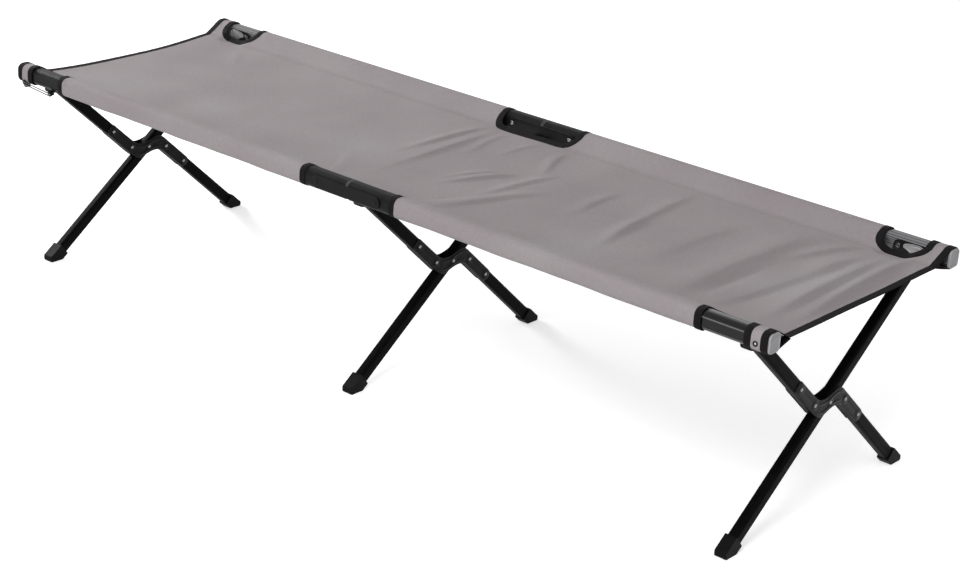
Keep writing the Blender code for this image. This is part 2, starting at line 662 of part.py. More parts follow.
for pair, x in leg_planes.items():
    upper_holes = [(near_pin, PIN_RADIUS)] + [(point, HUB_RIVET_RADIUS) for point in upper_points]
    lower_holes = [(point, HUB_RIVET_RADIUS) for point in lower_points]
    upper = make_leg(pair + "_upper_leg", x, upper_start, upper_end, upper_holes)
    lower = make_leg(pair + "_lower_leg", x, lower_start, lower_end, lower_holes)
    long_leg = make_leg(pair + "_long_leg", x, long_start, long_end,
                        [(far_pin, PIN_RADIUS), (hub, HUB_RIVET_RADIUS)])
    front = prism(pair + "_hub_front", front_plate, HUB_PLATE,
                  place(hub_rotation, (x + plate_centre, 0, HUB_Z)), BLACK_PAINT)
    rivets = turned(pair + "_hub_rivets", rivet_outline,
                    [(x, point.x, point.y) for point in upper_points + lower_points],
                    YZ_PLANE, STEEL, cutters)
    combine(front, rivets, "UNION")
    back = prism(pair + "_hub_back", back_plate, HUB_PLATE,
                 place(hub_rotation, (x - plate_centre, 0, HUB_Z)), BLACK_PAINT)
    hub_pivot = turned(pair + "_hub_pivot", pivot_outline, [(x, 0, HUB_Z)], YZ_PLANE, STEEL)
    far_foot = make_foot(pair + "_foot_far", x, lower_end, short_down)
    near_foot = make_foot(pair + "_foot_near", x, long_end, -long_up)
    near_top_pin = turned(pair + "_pin_near", pin_outline, [pin_place(x, NEAR)], YZ_PLANE, STEEL)
    far_top_pin = turned(pair + "_pin_far", pin_outline, [pin_place(x, FAR)], YZ_PLANE, STEEL)
    for piece in (upper, lower, front, back, hub_pivot, far_foot):
        ride(piece, short_legs[pair])
    for piece in (long_leg, near_foot):
        ride(piece, long_legs[pair])
    ride(near_top_pin, near_carriers[pair])
    ride(far_top_pin, far_carriers[pair])


# Sling: a low panel hung from a sleeve round each rail, left out where the frame shows

sleeve_offset = GAP + SLING_THICKNESS / 2
panel_top = RAIL_Z + RAIL_HEIGHT / 2 + sleeve_offset
panel_edge = RAIL_Y - RAIL_WIDTH / 2 + RAIL_CORNER
end_cut_to = COT_LENGTH / 2 - END_CUT_INSET
end_cut_from = end_cut_to - END_CUT_LENGTH
middle_cut_half = SPLIT_CLEARANCE + CAP_LENGTH + CUT_CLEARANCE
hem = COT_LENGTH / 2 - SLING_END


def sleeve():
    """Half of the sling's cross-section: round the far rail, from its inner face over its top."""
    half_width = RAIL_WIDTH / 2 + sleeve_offset
    half_height = RAIL_HEIGHT / 2 + sleeve_offset
    radius = RAIL_CORNER + sleeve_offset
    points = [(RAIL_Y - half_width, RAIL_Z + half_height - radius)]
    for quarter, (sy, sz) in enumerate(((-1, -1), (1, -1), (1, 1))):
        centre = Vector((RAIL_Y + sy * (half_width - radius), RAIL_Z + sz * (half_height - radius)))
        for step in range(RAIL_CORNER_STEPS + 1):
            angle = math.pi + (quarter + step / RAIL_CORNER_STEPS) * math.pi / 2
            points.append(centre + radius * Vector((math.cos(angle), math.sin(angle))))
    return points + [(panel_edge, panel_top)]


def panel_point(y):
    """A point of the panel, which hangs between the two seams."""
    return (y, panel_top - SEAM_DROP - SLING_SAG * (1 - (y / SEAM_Y) ** 2))


def slope_point(y):
    """A point of the sleeve's upper layer, straight from the seam to the rail's round corner."""
    return seam.lerp(sleeve_corner, (y - seam.x) / (sleeve_corner.x - seam.x))


corner_radius = RAIL_CORNER + sleeve_offset
corner_angle = math.pi / 2 / RAIL_CORNER_STEPS
sleeve_corner = Vector((panel_edge - corner_radius * math.sin(corner_angle),
                        panel_top - corner_radius * (1 - math.cos(corner_angle))))
seam = Vector(panel_point(SEAM_Y))
panel_half = [panel_point(SEAM_Y * step / PANEL_STEPS) for step in range(1, PANEL_STEPS + 1)]
sleeve_half = [slope_point(MIDDLE_CUT_Y), slope_point(END_CUT_Y), sleeve_corner] + sleeve()[::-1]
far_half = [panel_point(0)] + panel_half + [tuple(point) for point in sleeve_half]
sling_section = [(-y, z) for y, z in reversed(far_half[1:])] + far_half


def in_cut_out(x, y):
    """Whether a point of the sling falls in one of its cut-outs."""
    at_end = end_cut_from < abs(x) < end_cut_to and abs(y) > END_CUT_Y
    at_split = abs(x - SPLIT_X) < middle_cut_half and abs(y) > MIDDLE_CUT_Y
    return at_end or at_split


def make_sling(name, stations):
    """A stretch of the sling, with its cross-section at each station along the cot."""
    last_row = len(stations) - 1
    last_point = len(sling_section) - 1
    cloth = bmesh.new()
    bmesh.ops.create_grid(cloth, x_segments=last_row, y_segments=last_point, size=1)
    for vertex in cloth.verts:
        row = round((vertex.co.x + 1) / 2 * last_row)
        y, z = sling_section[round((vertex.co.y + 1) / 2 * last_point)]
        vertex.co = (stations[row], y, z)
    cut = [face for face in cloth.faces if in_cut_out(*face.calc_center_median().xy)]
    bmesh.ops.delete(cloth, geom=cut, context="FACES")
    mesh = bpy.data.meshes.new(name)
    cloth.to_mesh(mesh)
    cloth.free()
    sling = add_object(name, mesh, Matrix.Identity(4), FABRIC)
    solidify = sling.modifiers.new("thickness", "SOLIDIFY")
    solidify.thickness = SLING_THICKNESS
    solidify.offset = 0
    solidify.use_even_offset = True
    return sling


right_stations = [SPLIT_X + LINK_HALF + GAP / 2, SPLIT_X + middle_cut_half, end_cut_from, end_cut_to, hem]
left_stations = [SPLIT_X - LINK_HALF - GAP / 2, SPLIT_X - middle_cut_half, -end_cut_from, -end_cut_to, -hem]
make_sling("sling_right", right_stations)
ride(make_sling("sling_middle", [SPLIT_X - LINK_HALF + GAP / 2, SPLIT_X + LINK_HALF - GAP / 2]), near_link)
ride(make_sling("sling_left", left_stations), near_left)
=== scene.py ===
import math

import bmesh
import bpy
import numpy as np
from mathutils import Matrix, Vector


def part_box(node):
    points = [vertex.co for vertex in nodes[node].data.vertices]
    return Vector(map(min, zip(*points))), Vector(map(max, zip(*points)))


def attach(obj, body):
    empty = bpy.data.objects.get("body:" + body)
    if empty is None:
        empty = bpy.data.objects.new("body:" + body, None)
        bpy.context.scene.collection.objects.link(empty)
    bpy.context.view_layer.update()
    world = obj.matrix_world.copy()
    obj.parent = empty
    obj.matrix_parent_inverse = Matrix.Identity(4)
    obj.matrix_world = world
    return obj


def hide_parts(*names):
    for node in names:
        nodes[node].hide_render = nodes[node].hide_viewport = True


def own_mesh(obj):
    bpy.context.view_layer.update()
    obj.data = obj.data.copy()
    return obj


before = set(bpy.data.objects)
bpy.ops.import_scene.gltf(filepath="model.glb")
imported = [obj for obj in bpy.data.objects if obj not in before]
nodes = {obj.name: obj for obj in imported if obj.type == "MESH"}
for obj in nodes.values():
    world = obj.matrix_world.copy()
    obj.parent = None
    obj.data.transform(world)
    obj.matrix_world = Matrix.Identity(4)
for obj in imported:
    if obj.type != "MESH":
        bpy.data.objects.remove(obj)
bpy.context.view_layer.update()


# Side rails. Four hollow aluminium extrusions, sawn to length. The inner half is silver-grey and
# ribbed, with painted shade in the grooves between the ribs. The outer half is anodised black and has
# two beads along it; silver along the upper bead is a painted highlight.

NEAR, FAR = -1, 1
SIDES = {"near": NEAR, "far": FAR}
ENDS = {"left": -1, "right": 1}
CORNERS = [(side_name, side, end_name, end) for side_name, side in SIDES.items()
           for end_name, end in ENDS.items()]
RAIL_Y = 0.277
RAIL_Z = 0.411
RAIL_SIZE = (0.030, 0.034)
RAIL_CORNER = 0.011
RAIL_WALL = 0.0018
RIB_PITCH = 0.0038
RIB_DEPTH = 0.0007
RIB_BAND = 0.0125
RIB_FADE = 0.001
BEAD_HEIGHT = 0.0006
BEAD_WIDTH = 0.0012
BEAD_Z = 0.0084
# half the height of the painted highlight along the upper bead
BEAD_HIGHLIGHT = 0.0007
PAINT_EDGE = 0.0004
PAINT_BLACK = (0.006, 0.006, 0.007)
RIBBED_Y = RAIL_Y - 0.004   # the rail's inner side reaches to here
# share of black painted into the grooves between the ribs as shade
GROOVE_SHADE = 0.7
HIGHLIGHT_BLACK = 0.45           # share of black left in the painted highlight on the upper bead, and the highlight's soft border
HIGHLIGHT_BORDER = 0.001
SAWN_EDGE = 0.0003
ARC_STEPS = 30
FLAT_STEPS = 28
MERGED = 0.000002
SHARP_ANGLE = 35
CLOUDY = (0.3, 0.7)         # values of the noise between which the tones run
CLOUD_DETAIL = (6.0, 0.6)   # detail and roughness of that noise
WORN_EDGE = (0.53, 0.62)    # pointiness at which an edge begins to wear and is bare
WORN_SHARE = 0.7
GRAIN_DEPTH = 0.0004


def stacked(*parts):
    """Coordinates put together as points, each spread over the whole grid."""
    return np.stack(np.broadcast_arrays(*parts), -1)


def rounded_loop(width, height, radius, arc_steps=8, flat_steps=2):
    """Closed outline of a rectangle with round corners, as points and outward directions. Each quarter
    arc sweeps its angle evenly about its own corner's centre, then even steps follow the flat."""
    quarter = np.linspace(0, np.pi / 2, arc_steps + 1)
    angles = quarter + np.arange(4)[:, None] * np.pi / 2
    outward = stacked(np.cos(angles), np.sin(angles))
    half = np.array([width, height]) / 2 - radius
    centres = half * np.array([[1, 1], [-1, 1], [-1, -1], [1, -1]])
    arcs = centres[:, None] + radius * outward
    share = np.linspace(0, 1, flat_steps + 1)[1:-1, None]
    flats = arcs[:, -1:] * (1 - share) + np.roll(arcs[:, 0], -1, axis=0)[:, None] * share
    flat_outward = np.repeat(outward[:, -1:], flat_steps - 1, axis=1)
    points = np.concatenate([arcs, flats], axis=1).reshape(-1, 2)
    return points, np.concatenate([outward, flat_outward], axis=1).reshape(-1, 2)


def carried(loops, distances, origin, across, up, along):
    """Outlines carried along a straight line: origin + across * x + up * y + along * distance."""
    loops = np.asarray(loops, float)
    distances = np.asarray(distances, float)[:, None, None]
    across, up, along = (np.asarray(v, float) for v in (across, up, along))
    return (np.asarray(origin, float) + loops[..., :1] * across + loops[..., 1:] * up
            + distances * along)


def sawn_tube(outer, inner, width, length, *axes):
    """A tube: out along its outer face, whose ends are broken a little, and back along its bore."""
    broken = outer * (1 - 2 * SAWN_EDGE / width)
    return carried([broken, outer, outer, broken, inner, inner],
                   [0, SAWN_EDGE, length - SAWN_EDGE, length, length, 0], *axes)


def rail_axes(x, side, way):
    """Origin and directions of a rail's section at x: outwards, up, and along the cot."""
    return (x, side * RAIL_Y, RAIL_Z), (0, side, 0), (0, 0, 1), (way, 0, 0)


def reach_of(node, end):
    """Where a node begins and ends along the cot, going outwards."""
    low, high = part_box(node)
    return (low.x, high.x)[::end]


def build(name, body, material, grids, along=False, flat=None):
    """A piece made of grids of points, rows by columns, with a four-sided face in each cell. Rows close
    on themselves, and the last row joins the first where along is true. Points that fall together, as
    at a pole, are merged. flat holds each point's place on the cloth, in metres."""
    vertices, faces, start = [], [], 0
    for grid in grids:
        rows, columns = grid.shape[:2]
        row = np.arange(rows if along else rows - 1)[:, None]
        column = np.arange(columns)[None, :]
        next_row = (row + 1) % rows * columns
        next_column = (column + 1) % columns
        here = row * columns
        quads = stacked(here + column, here + next_column, next_row + next_column, next_row + column)
        faces.append(quads.reshape(-1, 4) + start)
        vertices.append(grid.reshape(-1, 3))
        start += rows * columns
    mesh = bpy.data.meshes.new(name)
    mesh.from_pydata(np.concatenate(vertices).tolist(), [], np.concatenate(faces).tolist())
    if flat is not None:
        corner = np.zeros(len(mesh.loops), np.int32)
        mesh.loops.foreach_get("vertex_index", corner)
        mesh.uv_layers.new(name="cloth").uv.foreach_set("vector", flat.reshape(-1, 2)[corner].ravel())
    solid = bmesh.new()
    solid.from_mesh(mesh)
    bmesh.ops.remove_doubles(solid, verts=solid.verts, dist=MERGED)
    bmesh.ops.recalc_face_normals(solid, faces=solid.faces)
    solid.to_mesh(mesh)
    solid.free()
    mesh.shade_smooth()
    mesh.set_sharp_from_angle(angle=math.radians(SHARP_ANGLE))
    mesh.materials.append(material)
    piece = bpy.data.objects.new(name, mesh)
    bpy.context.scene.collection.objects.link(piece)
    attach(piece, body)
    return piece


def set_sockets(tree, node, **values):
    """A node's sockets set to values or linked to other nodes' sockets. A socket goes by its name, with
    an underscore for each space, or by i and its place."""
    for key, value in values.items():
        by_place = key[0] == "i" and key[1:].isdigit()
        socket = node.inputs[int(key[1:]) if by_place else key.replace("_", " ")]
        if isinstance(value, bpy.types.NodeSocket):
            tree.links.new(value, socket)
        else:
            socket.default_value = value
    return node


def add_node(tree, kind, settings=(), **values):
    """A new shader node with its settings made and its sockets set or linked."""
    node = tree.nodes.new("ShaderNode" + kind)
    for key, value in dict(settings).items():
        setattr(node, key, value)
    return set_sockets(tree, node, **values)


def calc(tree, operation, *values):
    """A number worked out from others in a Math node."""
    places = {f"i{place}": value for place, value in enumerate(values)}
    return add_node(tree, "Math", {"operation": operation}, **places).outputs[0]


def remap(tree, value, low, high, to_low=0.0, to_high=1.0):
    """A value's range from low to high moved to another range, and held inside it."""
    return add_node(tree, "MapRange", Value=value, From_Min=low, From_Max=high, To_Min=to_low,
                    To_Max=to_high).outputs["Result"]


def noise(tree, place, scale, detail, roughness=0.5):
    """Cloudy noise by place."""
    return add_node(tree, "TexNoise", Vector=place, Scale=scale, Detail=detail,
                    Roughness=roughness).outputs["Fac"]


def mixed(tree, share, one, other):
    """Two colours mixed by a share. Each is a tone or another node's socket."""
    one, other = ((*tone, 1) if isinstance(tone, tuple) else tone for tone in (one, other))
    return add_node(tree, "Mix", {"data_type": "RGBA"}, i0=share, i6=one, i7=other).outputs[2]


def new_material(name):
    """A material, its node tree and its shader."""
    material = bpy.data.materials.new(name)
    material.use_nodes = True
    return material, material.node_tree, material.node_tree.nodes["Principled BSDF"]


def finish(name, dark, light, rough, metallic=0.0, grain=(60, 60, 60), fine=900, bump=0.15, worn=None,
           specular=0.5):
    """A plain hard finish: noise drawn out along the grain mixes a darker and a lighter tone and moves
    the roughness, a finer noise gives the bump, and convex edges may be worn to another tone."""
    material, tree, shader = new_material(name)
    place = add_node(tree, "TexCoord").outputs["Object"]
    drawn = add_node(tree, "Mapping", Vector=place, Scale=grain).outputs["Vector"]
    spread = remap(tree, noise(tree, drawn, 1.0, *CLOUD_DETAIL), *CLOUDY)
    tone = mixed(tree, spread, dark, light)
    if worn:
        edge = add_node(tree, "NewGeometry").outputs["Pointiness"]
        tone = mixed(tree, remap(tree, edge, *WORN_EDGE, 0.0, WORN_SHARE), tone, worn)
    relief = add_node(tree, "Bump", Height=noise(tree, place, fine, 3.0), Strength=bump,
                      Distance=GRAIN_DEPTH).outputs["Normal"]
    set_sockets(tree, shader, Base_Color=tone, Roughness=remap(tree, spread, 0.0, 1.0, *rough),
                Normal=relief, Metallic=metallic, Specular_IOR_Level=specular)
    return material


ANODISED = finish("anodised_aluminium", (0.12, 0.12, 0.125), (0.18, 0.18, 0.185), (0.40, 0.50), 0.6,
                  (4, 160, 160), 1400, 0.10, (0.24, 0.24, 0.25), 0.2)


def outer_black(name, gloss, coat, edge_y, bead_highlight):
    """The silver finish with a black outer side: a mask of the distance from the middle of the cot
    mixes the tone and the roughness, a mask of height paints a silver highlight along the upper bead,
    and a cosine of height paints shade into the grooves between the ribs."""
    material = ANODISED.copy()
    material.name = name
    tree = material.node_tree
    shader = tree.nodes["Principled BSDF"]
    place = add_node(tree, "TexCoord").outputs["Object"]
    split = add_node(tree, "SeparateXYZ", Vector=place)
    out = calc(tree, "ABSOLUTE", split.outputs["Y"])
    black = remap(tree, out, edge_y, edge_y + PAINT_EDGE)
    level = calc(tree, "SUBTRACT", split.outputs["Z"], RAIL_Z)
    # painted shade in the grooves between the ribs
    wave = calc(tree, "COSINE", calc(tree, "MULTIPLY", level, 2 * math.pi / RIB_PITCH))
    groove = remap(tree, wave, -1.0, 0.3, GROOVE_SHADE, 0.0)
    # painted highlight: the upper bead keeps less of the black
    bead = calc(tree, "ABSOLUTE", calc(tree, "SUBTRACT", level, BEAD_Z))
    painted = remap(tree, bead, bead_highlight, bead_highlight + HIGHLIGHT_BORDER, HIGHLIGHT_BLACK)
    outside = calc(tree, "MULTIPLY", black, painted)
    inside = calc(tree, "MULTIPLY", calc(tree, "LESS_THAN", out, RIBBED_Y), groove)
    mask = calc(tree, "MAXIMUM", outside, inside)
    tone, rough = (shader.inputs[socket].links[0].from_socket for socket in ("Base Color", "Roughness"))
    set_sockets(tree, shader, Base_Color=mixed(tree, mask, tone, PAINT_BLACK),
                Roughness=add_node(tree, "Mix", i0=mask, i2=rough, i3=gloss).outputs[0],
                Coat_Weight=coat, Coat_Roughness=0.25)
    return material


# The other rails carry the painted highlight on the upper bead. The near left rail is a shaded copy:
# painted shade blackens its top as well, and no highlight is painted on its bead
GLOSSY_HIGHLIGHT_RAIL = outer_black("rail_two_tone", 0.24, 0.28, RAIL_Y, BEAD_HIGHLIGHT)
MATTE_SHADED_RAIL = outer_black("rail_two_tone_matte_shaded", 0.5, 0.0, RAIL_Y - 0.0135, -1.0)


def rail_loop():
    """The rail's outline. On the inner side a power of the cosine of height cuts the grooves between
    the ribs, and on the outer side two bell curves of height make the beads. Its own x points outwards."""
    points, outward = rounded_loop(*RAIL_SIZE, RAIL_CORNER, ARC_STEPS, FLAT_STEPS)
    height = points[:, 1]
    inner = (points[:, 0] < 0) * np.clip((RIB_BAND - np.abs(height)) / RIB_FADE, 0, 1)
    ribs = -RIB_DEPTH * (0.5 - 0.5 * np.cos(2 * np.pi * height / RIB_PITCH)) ** 2 * inner
    beads = BEAD_HEIGHT * np.exp(-((np.abs(height) - BEAD_Z) / BEAD_WIDTH) ** 2) * (points[:, 0] > 0)
    return points + outward * (ribs + beads)[:, None]


bore = rounded_loop(RAIL_SIZE[0] - 2 * RAIL_WALL, RAIL_SIZE[1] - 2 * RAIL_WALL, RAIL_CORNER - RAIL_WALL,
                    ARC_STEPS, FLAT_STEPS)[0]
for side_name, side, end_name, end in CORNERS:
    node = f"{side_name}_rail_{end_name}"
    start, stop = reach_of(node, end)
    tube = sawn_tube(rail_loop(), bore, RAIL_SIZE[0], abs(stop - start), *rail_axes(start, side, end))
    # painted shade: the near left rail takes the darker copy of the finish
    rail = build(node + "_extrusion", node, MATTE_SHADED_RAIL if node == "near_rail_left" else GLOSSY_HIGHLIGHT_RAIL,
                 [tube], along=True)
    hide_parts(node)


# End plugs. Moulded silver-grey plastic, pressed into the outer rail ends. Each has a head as
# large as the rail but squarer, with a dished panel in its face, and an insert inside the bore.

PLUG_HEAD = 0.005
PLUG_INSERT = 0.015
PLUG_EDGE = 0.0016
PLUG_RIM = 0.0028
PLUG_DISH = 0.0016
PLUG_DISH_EDGE = 0.0010
PLUG_CORNER = 0.0078
BORE_PLAY = 0.0003
PLUG_PLASTIC = finish("silver_plastic", (0.30, 0.30, 0.31), (0.42, 0.42, 0.43), (0.42, 0.55), 0.0,
                      (90, 90, 90), 700, 0.4)


def rail_section(grow, corner=RAIL_CORNER):
    """The plain rail outline grown by a clearance, or shrunk where it is negative."""
    width, height = np.array(RAIL_SIZE) + 2 * grow
    return rounded_loop(width, height, max(corner + grow, 0.001), 8, 4)[0]


# From the middle of the face outwards, round the head, then along the insert to its end
pole = rail_section(0) * 0
insert = rail_section(-RAIL_WALL - BORE_PLAY)
turn = np.linspace(0, np.pi / 2, 5)
plug_loops = [pole, rail_section(-PLUG_RIM - PLUG_DISH_EDGE, PLUG_CORNER),
              rail_section(-PLUG_RIM, PLUG_CORNER)]
plug_loops += [rail_section(-PLUG_EDGE * (1 - math.sin(angle)), PLUG_CORNER) for angle in turn]
plug_loops += [rail_section(0, PLUG_CORNER), insert, insert, pole]
plug_depths = [PLUG_DISH, PLUG_DISH, 0, *(PLUG_EDGE * (1 - math.cos(angle)) for angle in turn),
               PLUG_HEAD, PLUG_HEAD, PLUG_HEAD + PLUG_INSERT, PLUG_HEAD + PLUG_INSERT]
for side_name, side, end_name, end in CORNERS:
    node = f"{side_name}_plug_{end_name}"
    face = reach_of(node, end)[1]
    plug = build(node + "_moulding", f"{side_name}_rail_{end_name}", PLUG_PLASTIC,
                 [carried(plug_loops, plug_depths, *rail_axes(face, side, -end))])
    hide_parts(node)


# Rail caps. Long black plastic sleeves over the rail ends at the split, solid at the joint and
# chamfered below so that they pass each other as the rails fold. A thin bare lip faces the joint.

CAP_WALL = 0.0015           # clearance and wall, from the rail
CAP_FLOOR = 0.0073
CAP_CHAMFER = 0.006
CAP_EDGE = 0.0007
CAP_ROWS = [0.003, 0.0045, 0.006, 0.008, 0.012]     # close together where the chamfer runs
LIP = 0.0011
LIP_INSET = 0.0003
LIP_PROUD = 0.0002
LIP_DEEP = 0.004
BLACK_PLASTIC = finish("black_plastic", (0.004, 0.004, 0.0045), (0.008, 0.008, 0.009), (0.42, 0.56), 0.0,
                       (40, 40, 40), 900, 0.35, None, 0.1)


def chamfered(points, face_x, end):
    """Points near the joint and low on the cap are moved back until depth + height reaches the chamfer."""
    depth = (points[..., 0] - face_x) * end
    height = points[..., 2] - (RAIL_Z - RAIL_SIZE[1] / 2 - CAP_WALL)
    points[..., 0] = face_x + end * np.maximum(depth, CAP_CHAMFER - height)
    return points


outer, broken, bore = (rail_section(grow) for grow in (CAP_WALL, CAP_WALL - CAP_EDGE, BORE_PLAY))
rim, well = rail_section(CAP_WALL + LIP_PROUD), rail_section(-LIP_DEEP)
for side_name, side, end_name, end in CORNERS:
    node = f"{side_name}_cap_{end_name}"
    body = f"{side_name}_rail_{end_name}"
    start, stop = reach_of(node, end)
    length = abs(stop - start)
    axes = rail_axes(start, side, end)
    loops = [pole, outer * 0.6, broken] + [outer] * 7 + [broken, bore, bore, pole]
    depths = [LIP, LIP, LIP, LIP + CAP_EDGE, *CAP_ROWS, length - CAP_EDGE, length, length,
              CAP_FLOOR, CAP_FLOOR]
    cap = build(node + "_moulding", body, BLACK_PLASTIC,
                [chamfered(carried(loops, depths, *axes), start, end)])
    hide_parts(node)
    lip = carried([well, rim, rim, well], [LIP_INSET, LIP_INSET, LIP, LIP], *axes)
    build(node + "_lip", body, ANODISED, [chamfered(lip, start, end)], along=True)


# Rivets and pins. Bare steel, set with a low dome on each side. Each is turned as one profile of
# radius and height about its own axis: dome, head, shank, head, dome.

DOME_STEPS = 6
LEG_X = 0.8875
SPLIT_X = 0.015
DRAWN = (300, 300, 300)     # grain of drawn steel
STEEL = finish("zinc_steel", (0.30, 0.30, 0.31), (0.50, 0.50, 0.51), (0.20, 0.34), 1.0, DRAWN, 900, 0.08)
DARK_STEEL = finish("dark_steel", (0.05, 0.05, 0.052), (0.11, 0.11, 0.112), (0.18, 0.28), 1.0, DRAWN, 900,
                    0.08)


def turned(profile, centre, axis, steps=24):
    """A profile of radius and height carried round an axis: the angle runs along each row."""
    axis = np.asarray(axis, float)
    level = np.array([0.0, 0.0, 1.0])
    across = np.cross(axis, level)
    angle = np.linspace(0, 2 * np.pi, steps, endpoint=False)[:, None]
    ring = np.cos(angle) * across + np.sin(angle) * level
    profile = np.asarray(profile, float)
    return np.asarray(centre, float) + profile[:, 1, None, None] * axis + profile[:, 0, None, None] * ring


def domed_pin(shank, head, edge, dome, low, high):
    """Profile of a pin whose heads stand on the heights low and high: a quarter ellipse for each dome."""
    angle = np.linspace(0, np.pi / 2, DOME_STEPS)
    top = stacked(head * np.sin(angle), high + edge + dome * np.cos(angle))
    bottom = stacked(head * np.sin(angle), low - edge - dome * np.cos(angle))
    middle = [(head, high), (shank, high), (shank, low), (head, low)]
    return np.concatenate([top, middle, bottom[::-1]])


PIN_Y = 0.2435
PIN_Z = 0.389
PIN_HALF = 0.0128
pin_profile = domed_pin(shank=0.003, head=0.0048, edge=0.0004, dome=0.0012, low=-PIN_HALF, high=PIN_HALF)
leg_planes = {"left": -LEG_X, "middle": SPLIT_X, "right": LEG_X}
for pair, x in leg_planes.items():
    for side_name, side in SIDES.items():
        node = f"{pair}_pin_{side_name}"
        carrier = f"{side_name}_link" if pair == "middle" else f"{side_name}_bracket_{pair}"
        pin = build(node + "_domed", carrier, STEEL,
                    [turned(pin_profile, (x, side * PIN_Y, PIN_Z), (1, 0, 0))])
        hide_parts(node)

SWING_X = 0.846
SWING_PLATE_Y = 0.2589      # inner face of the bracket, where the washer lies
SWING_TAIL_Y = 0.2641       # inside of the rail's wall
SWING_HEAD = (0.0050, 0.0005, 0.0013)   # radius, edge and dome
SWING_SHANK = 0.003
SWING_TAIL = (0.0045, 0.0012)           # radius and thickness
WASHER = (0.0035, 0.0070, 0.0075)       # radii of its hole, its top and its foot
WASHER_TOP = 0.0008
WASHER_BEVEL = 0.0003
WASHER_PLAY = 0.0001
WASHER_BLACK = finish("washer_black", (0.004, 0.004, 0.0045), (0.008, 0.008, 0.009), (0.35, 0.5), 0.0,
                      (60, 60, 60), 900, 0.15, None, 0.12)
# Profiles of radius and distance from the middle of the cot
seat, foot_y = SWING_PLATE_Y - WASHER_TOP, SWING_PLATE_Y - WASHER_PLAY
head, edge, rise = SWING_HEAD
tail, tail_y = SWING_TAIL[0], SWING_TAIL_Y + SWING_TAIL[1]
hole, top, foot = WASHER
angle = np.linspace(0, np.pi / 2, DOME_STEPS)
dome = stacked(head * np.sin(angle), seat - edge - rise * np.cos(angle))
shank = [(head, seat), (SWING_SHANK, seat), (SWING_SHANK, SWING_TAIL_Y), (tail, SWING_TAIL_Y),
         (tail, tail_y), (0, tail_y)]
washer = [(hole, seat), (top, seat), (foot, seat + WASHER_BEVEL), (foot, foot_y), (hole, foot_y)]
for side_name, side, end_name, end in CORNERS:
    node = f"{side_name}_bracket_rivet_{end_name}"
    body = f"{side_name}_rail_{end_name}"
    place = ((end * SWING_X, 0, RAIL_Z), (0, side, 0))
    profile = np.concatenate([dome, shank])
    rivet = build(node + "_domed", body, DARK_STEEL, [turned(profile, *place)])
    build(node + "_washer", body, WASHER_BLACK, [turned(washer, *place)], along=True)
    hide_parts(node)


# Centre links. At the split each pair of rails turns on an inner and an outer plate of black
# coated steel, riveted through the caps. The inner plate also carries the middle legs' cheeks.

LINK_HALF = 0.075
LINK_REACH = 0.011
LINK_HEIGHT = 0.023
PLATE = 0.0025
PLATE_EDGE = 0.0005
OUTER_LINK_Y = 0.29505      # middle of the outer plate
INNER_LINK_FACE = 0.2577
WELDED = 0.00001
BEVEL_ANGLE = 40
LINK_STEEL = finish("link_steel", (0.16, 0.16, 0.165), (0.30, 0.30, 0.31), (0.14, 0.24), 1.0, DRAWN, 900,
                    0.08)
BLACK_COAT = finish("black_coat", (0.005, 0.005, 0.0055), (0.010, 0.010, 0.011), (0.34, 0.48), 0.0,
                    (70, 70, 70), 500, 0.30, (0.03, 0.03, 0.031), 0.12)


def dress(node, material, edge):
    """A node of the frame that stays gets its own finish and a small round bevel, for which its loose
    triangles are welded first."""
    piece = nodes[node]
    piece.data.materials.clear()
    piece.data.materials.append(material)
    weld = piece.modifiers.new("weld", "WELD")
    weld.merge_threshold = WELDED
    bevel = piece.modifiers.new("pressed_edge", "BEVEL")
    bevel.width = edge
    bevel.segments = 2
    bevel.limit_method = "ANGLE"
    bevel.angle_limit = math.radians(BEVEL_ANGLE)


# Outline of the outer plate, out from the middle of one face, over its edge and back
length, radius = 2 * (LINK_HALF + LINK_REACH), LINK_HEIGHT / 2 - 0.0001
full = rounded_loop(length, LINK_HEIGHT, radius, 10)[0]
trimmed = rounded_loop(length - 2 * PLATE_EDGE, LINK_HEIGHT - 2 * PLATE_EDGE, radius - PLATE_EDGE, 10)[0]
link_loops = [full * 0, trimmed, full, full, trimmed, full * 0]
link_depths = np.array([-1, -1, -1, 1, 1, 1]) * PLATE / 2 + np.array([0, 0, 1, -1, 0, 0]) * PLATE_EDGE
link_pin = domed_pin(shank=0.003, head=0.0046, edge=0.0004, dome=0.0012, low=INNER_LINK_FACE,
                     high=OUTER_LINK_Y)
link_pin = np.concatenate([[(0, OUTER_LINK_Y), (0.003, OUTER_LINK_Y)], link_pin[DOME_STEPS + 2:]])
# Profile of the cover over an outer rivet
cover = OUTER_LINK_Y + PLATE / 2
link_head = [(0, cover + 0.0008), (0.0034, cover + 0.0007), (0.0046, cover + 0.0002),
             (0.0046, cover - 0.0004), (0, cover - 0.0004)]
link_spots = [(SPLIT_X + end * LINK_HALF, 0, RAIL_Z) for end in ENDS.values()]
for side_name, side in SIDES.items():
    for node in ("bracket_left", "bracket_right", "link_inner"):
        dress(f"{side_name}_{node}", BLACK_COAT, PLATE_EDGE)
    body, axis = side_name + "_link", (0, side, 0)
    place = ((SPLIT_X, side * OUTER_LINK_Y, RAIL_Z), (1, 0, 0), (0, 0, 1), axis)
    plate = build(body + "_plate", body, BLACK_PLASTIC, [carried(link_loops, link_depths, *place)])
    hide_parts(body + "_outer")
    build(body + "_rivets", body, LINK_STEEL, [turned(link_pin, spot, axis) for spot in link_spots])
    build(body + "_heads", body, BLACK_PLASTIC,
          [turned(link_head, spot, axis) for spot in link_spots])


# Bracket facings. A grey pressed plate lies on the inner face of each end bracket, from the swing
# rivet's washer round to the leg. It has a raised field with a groove round it.

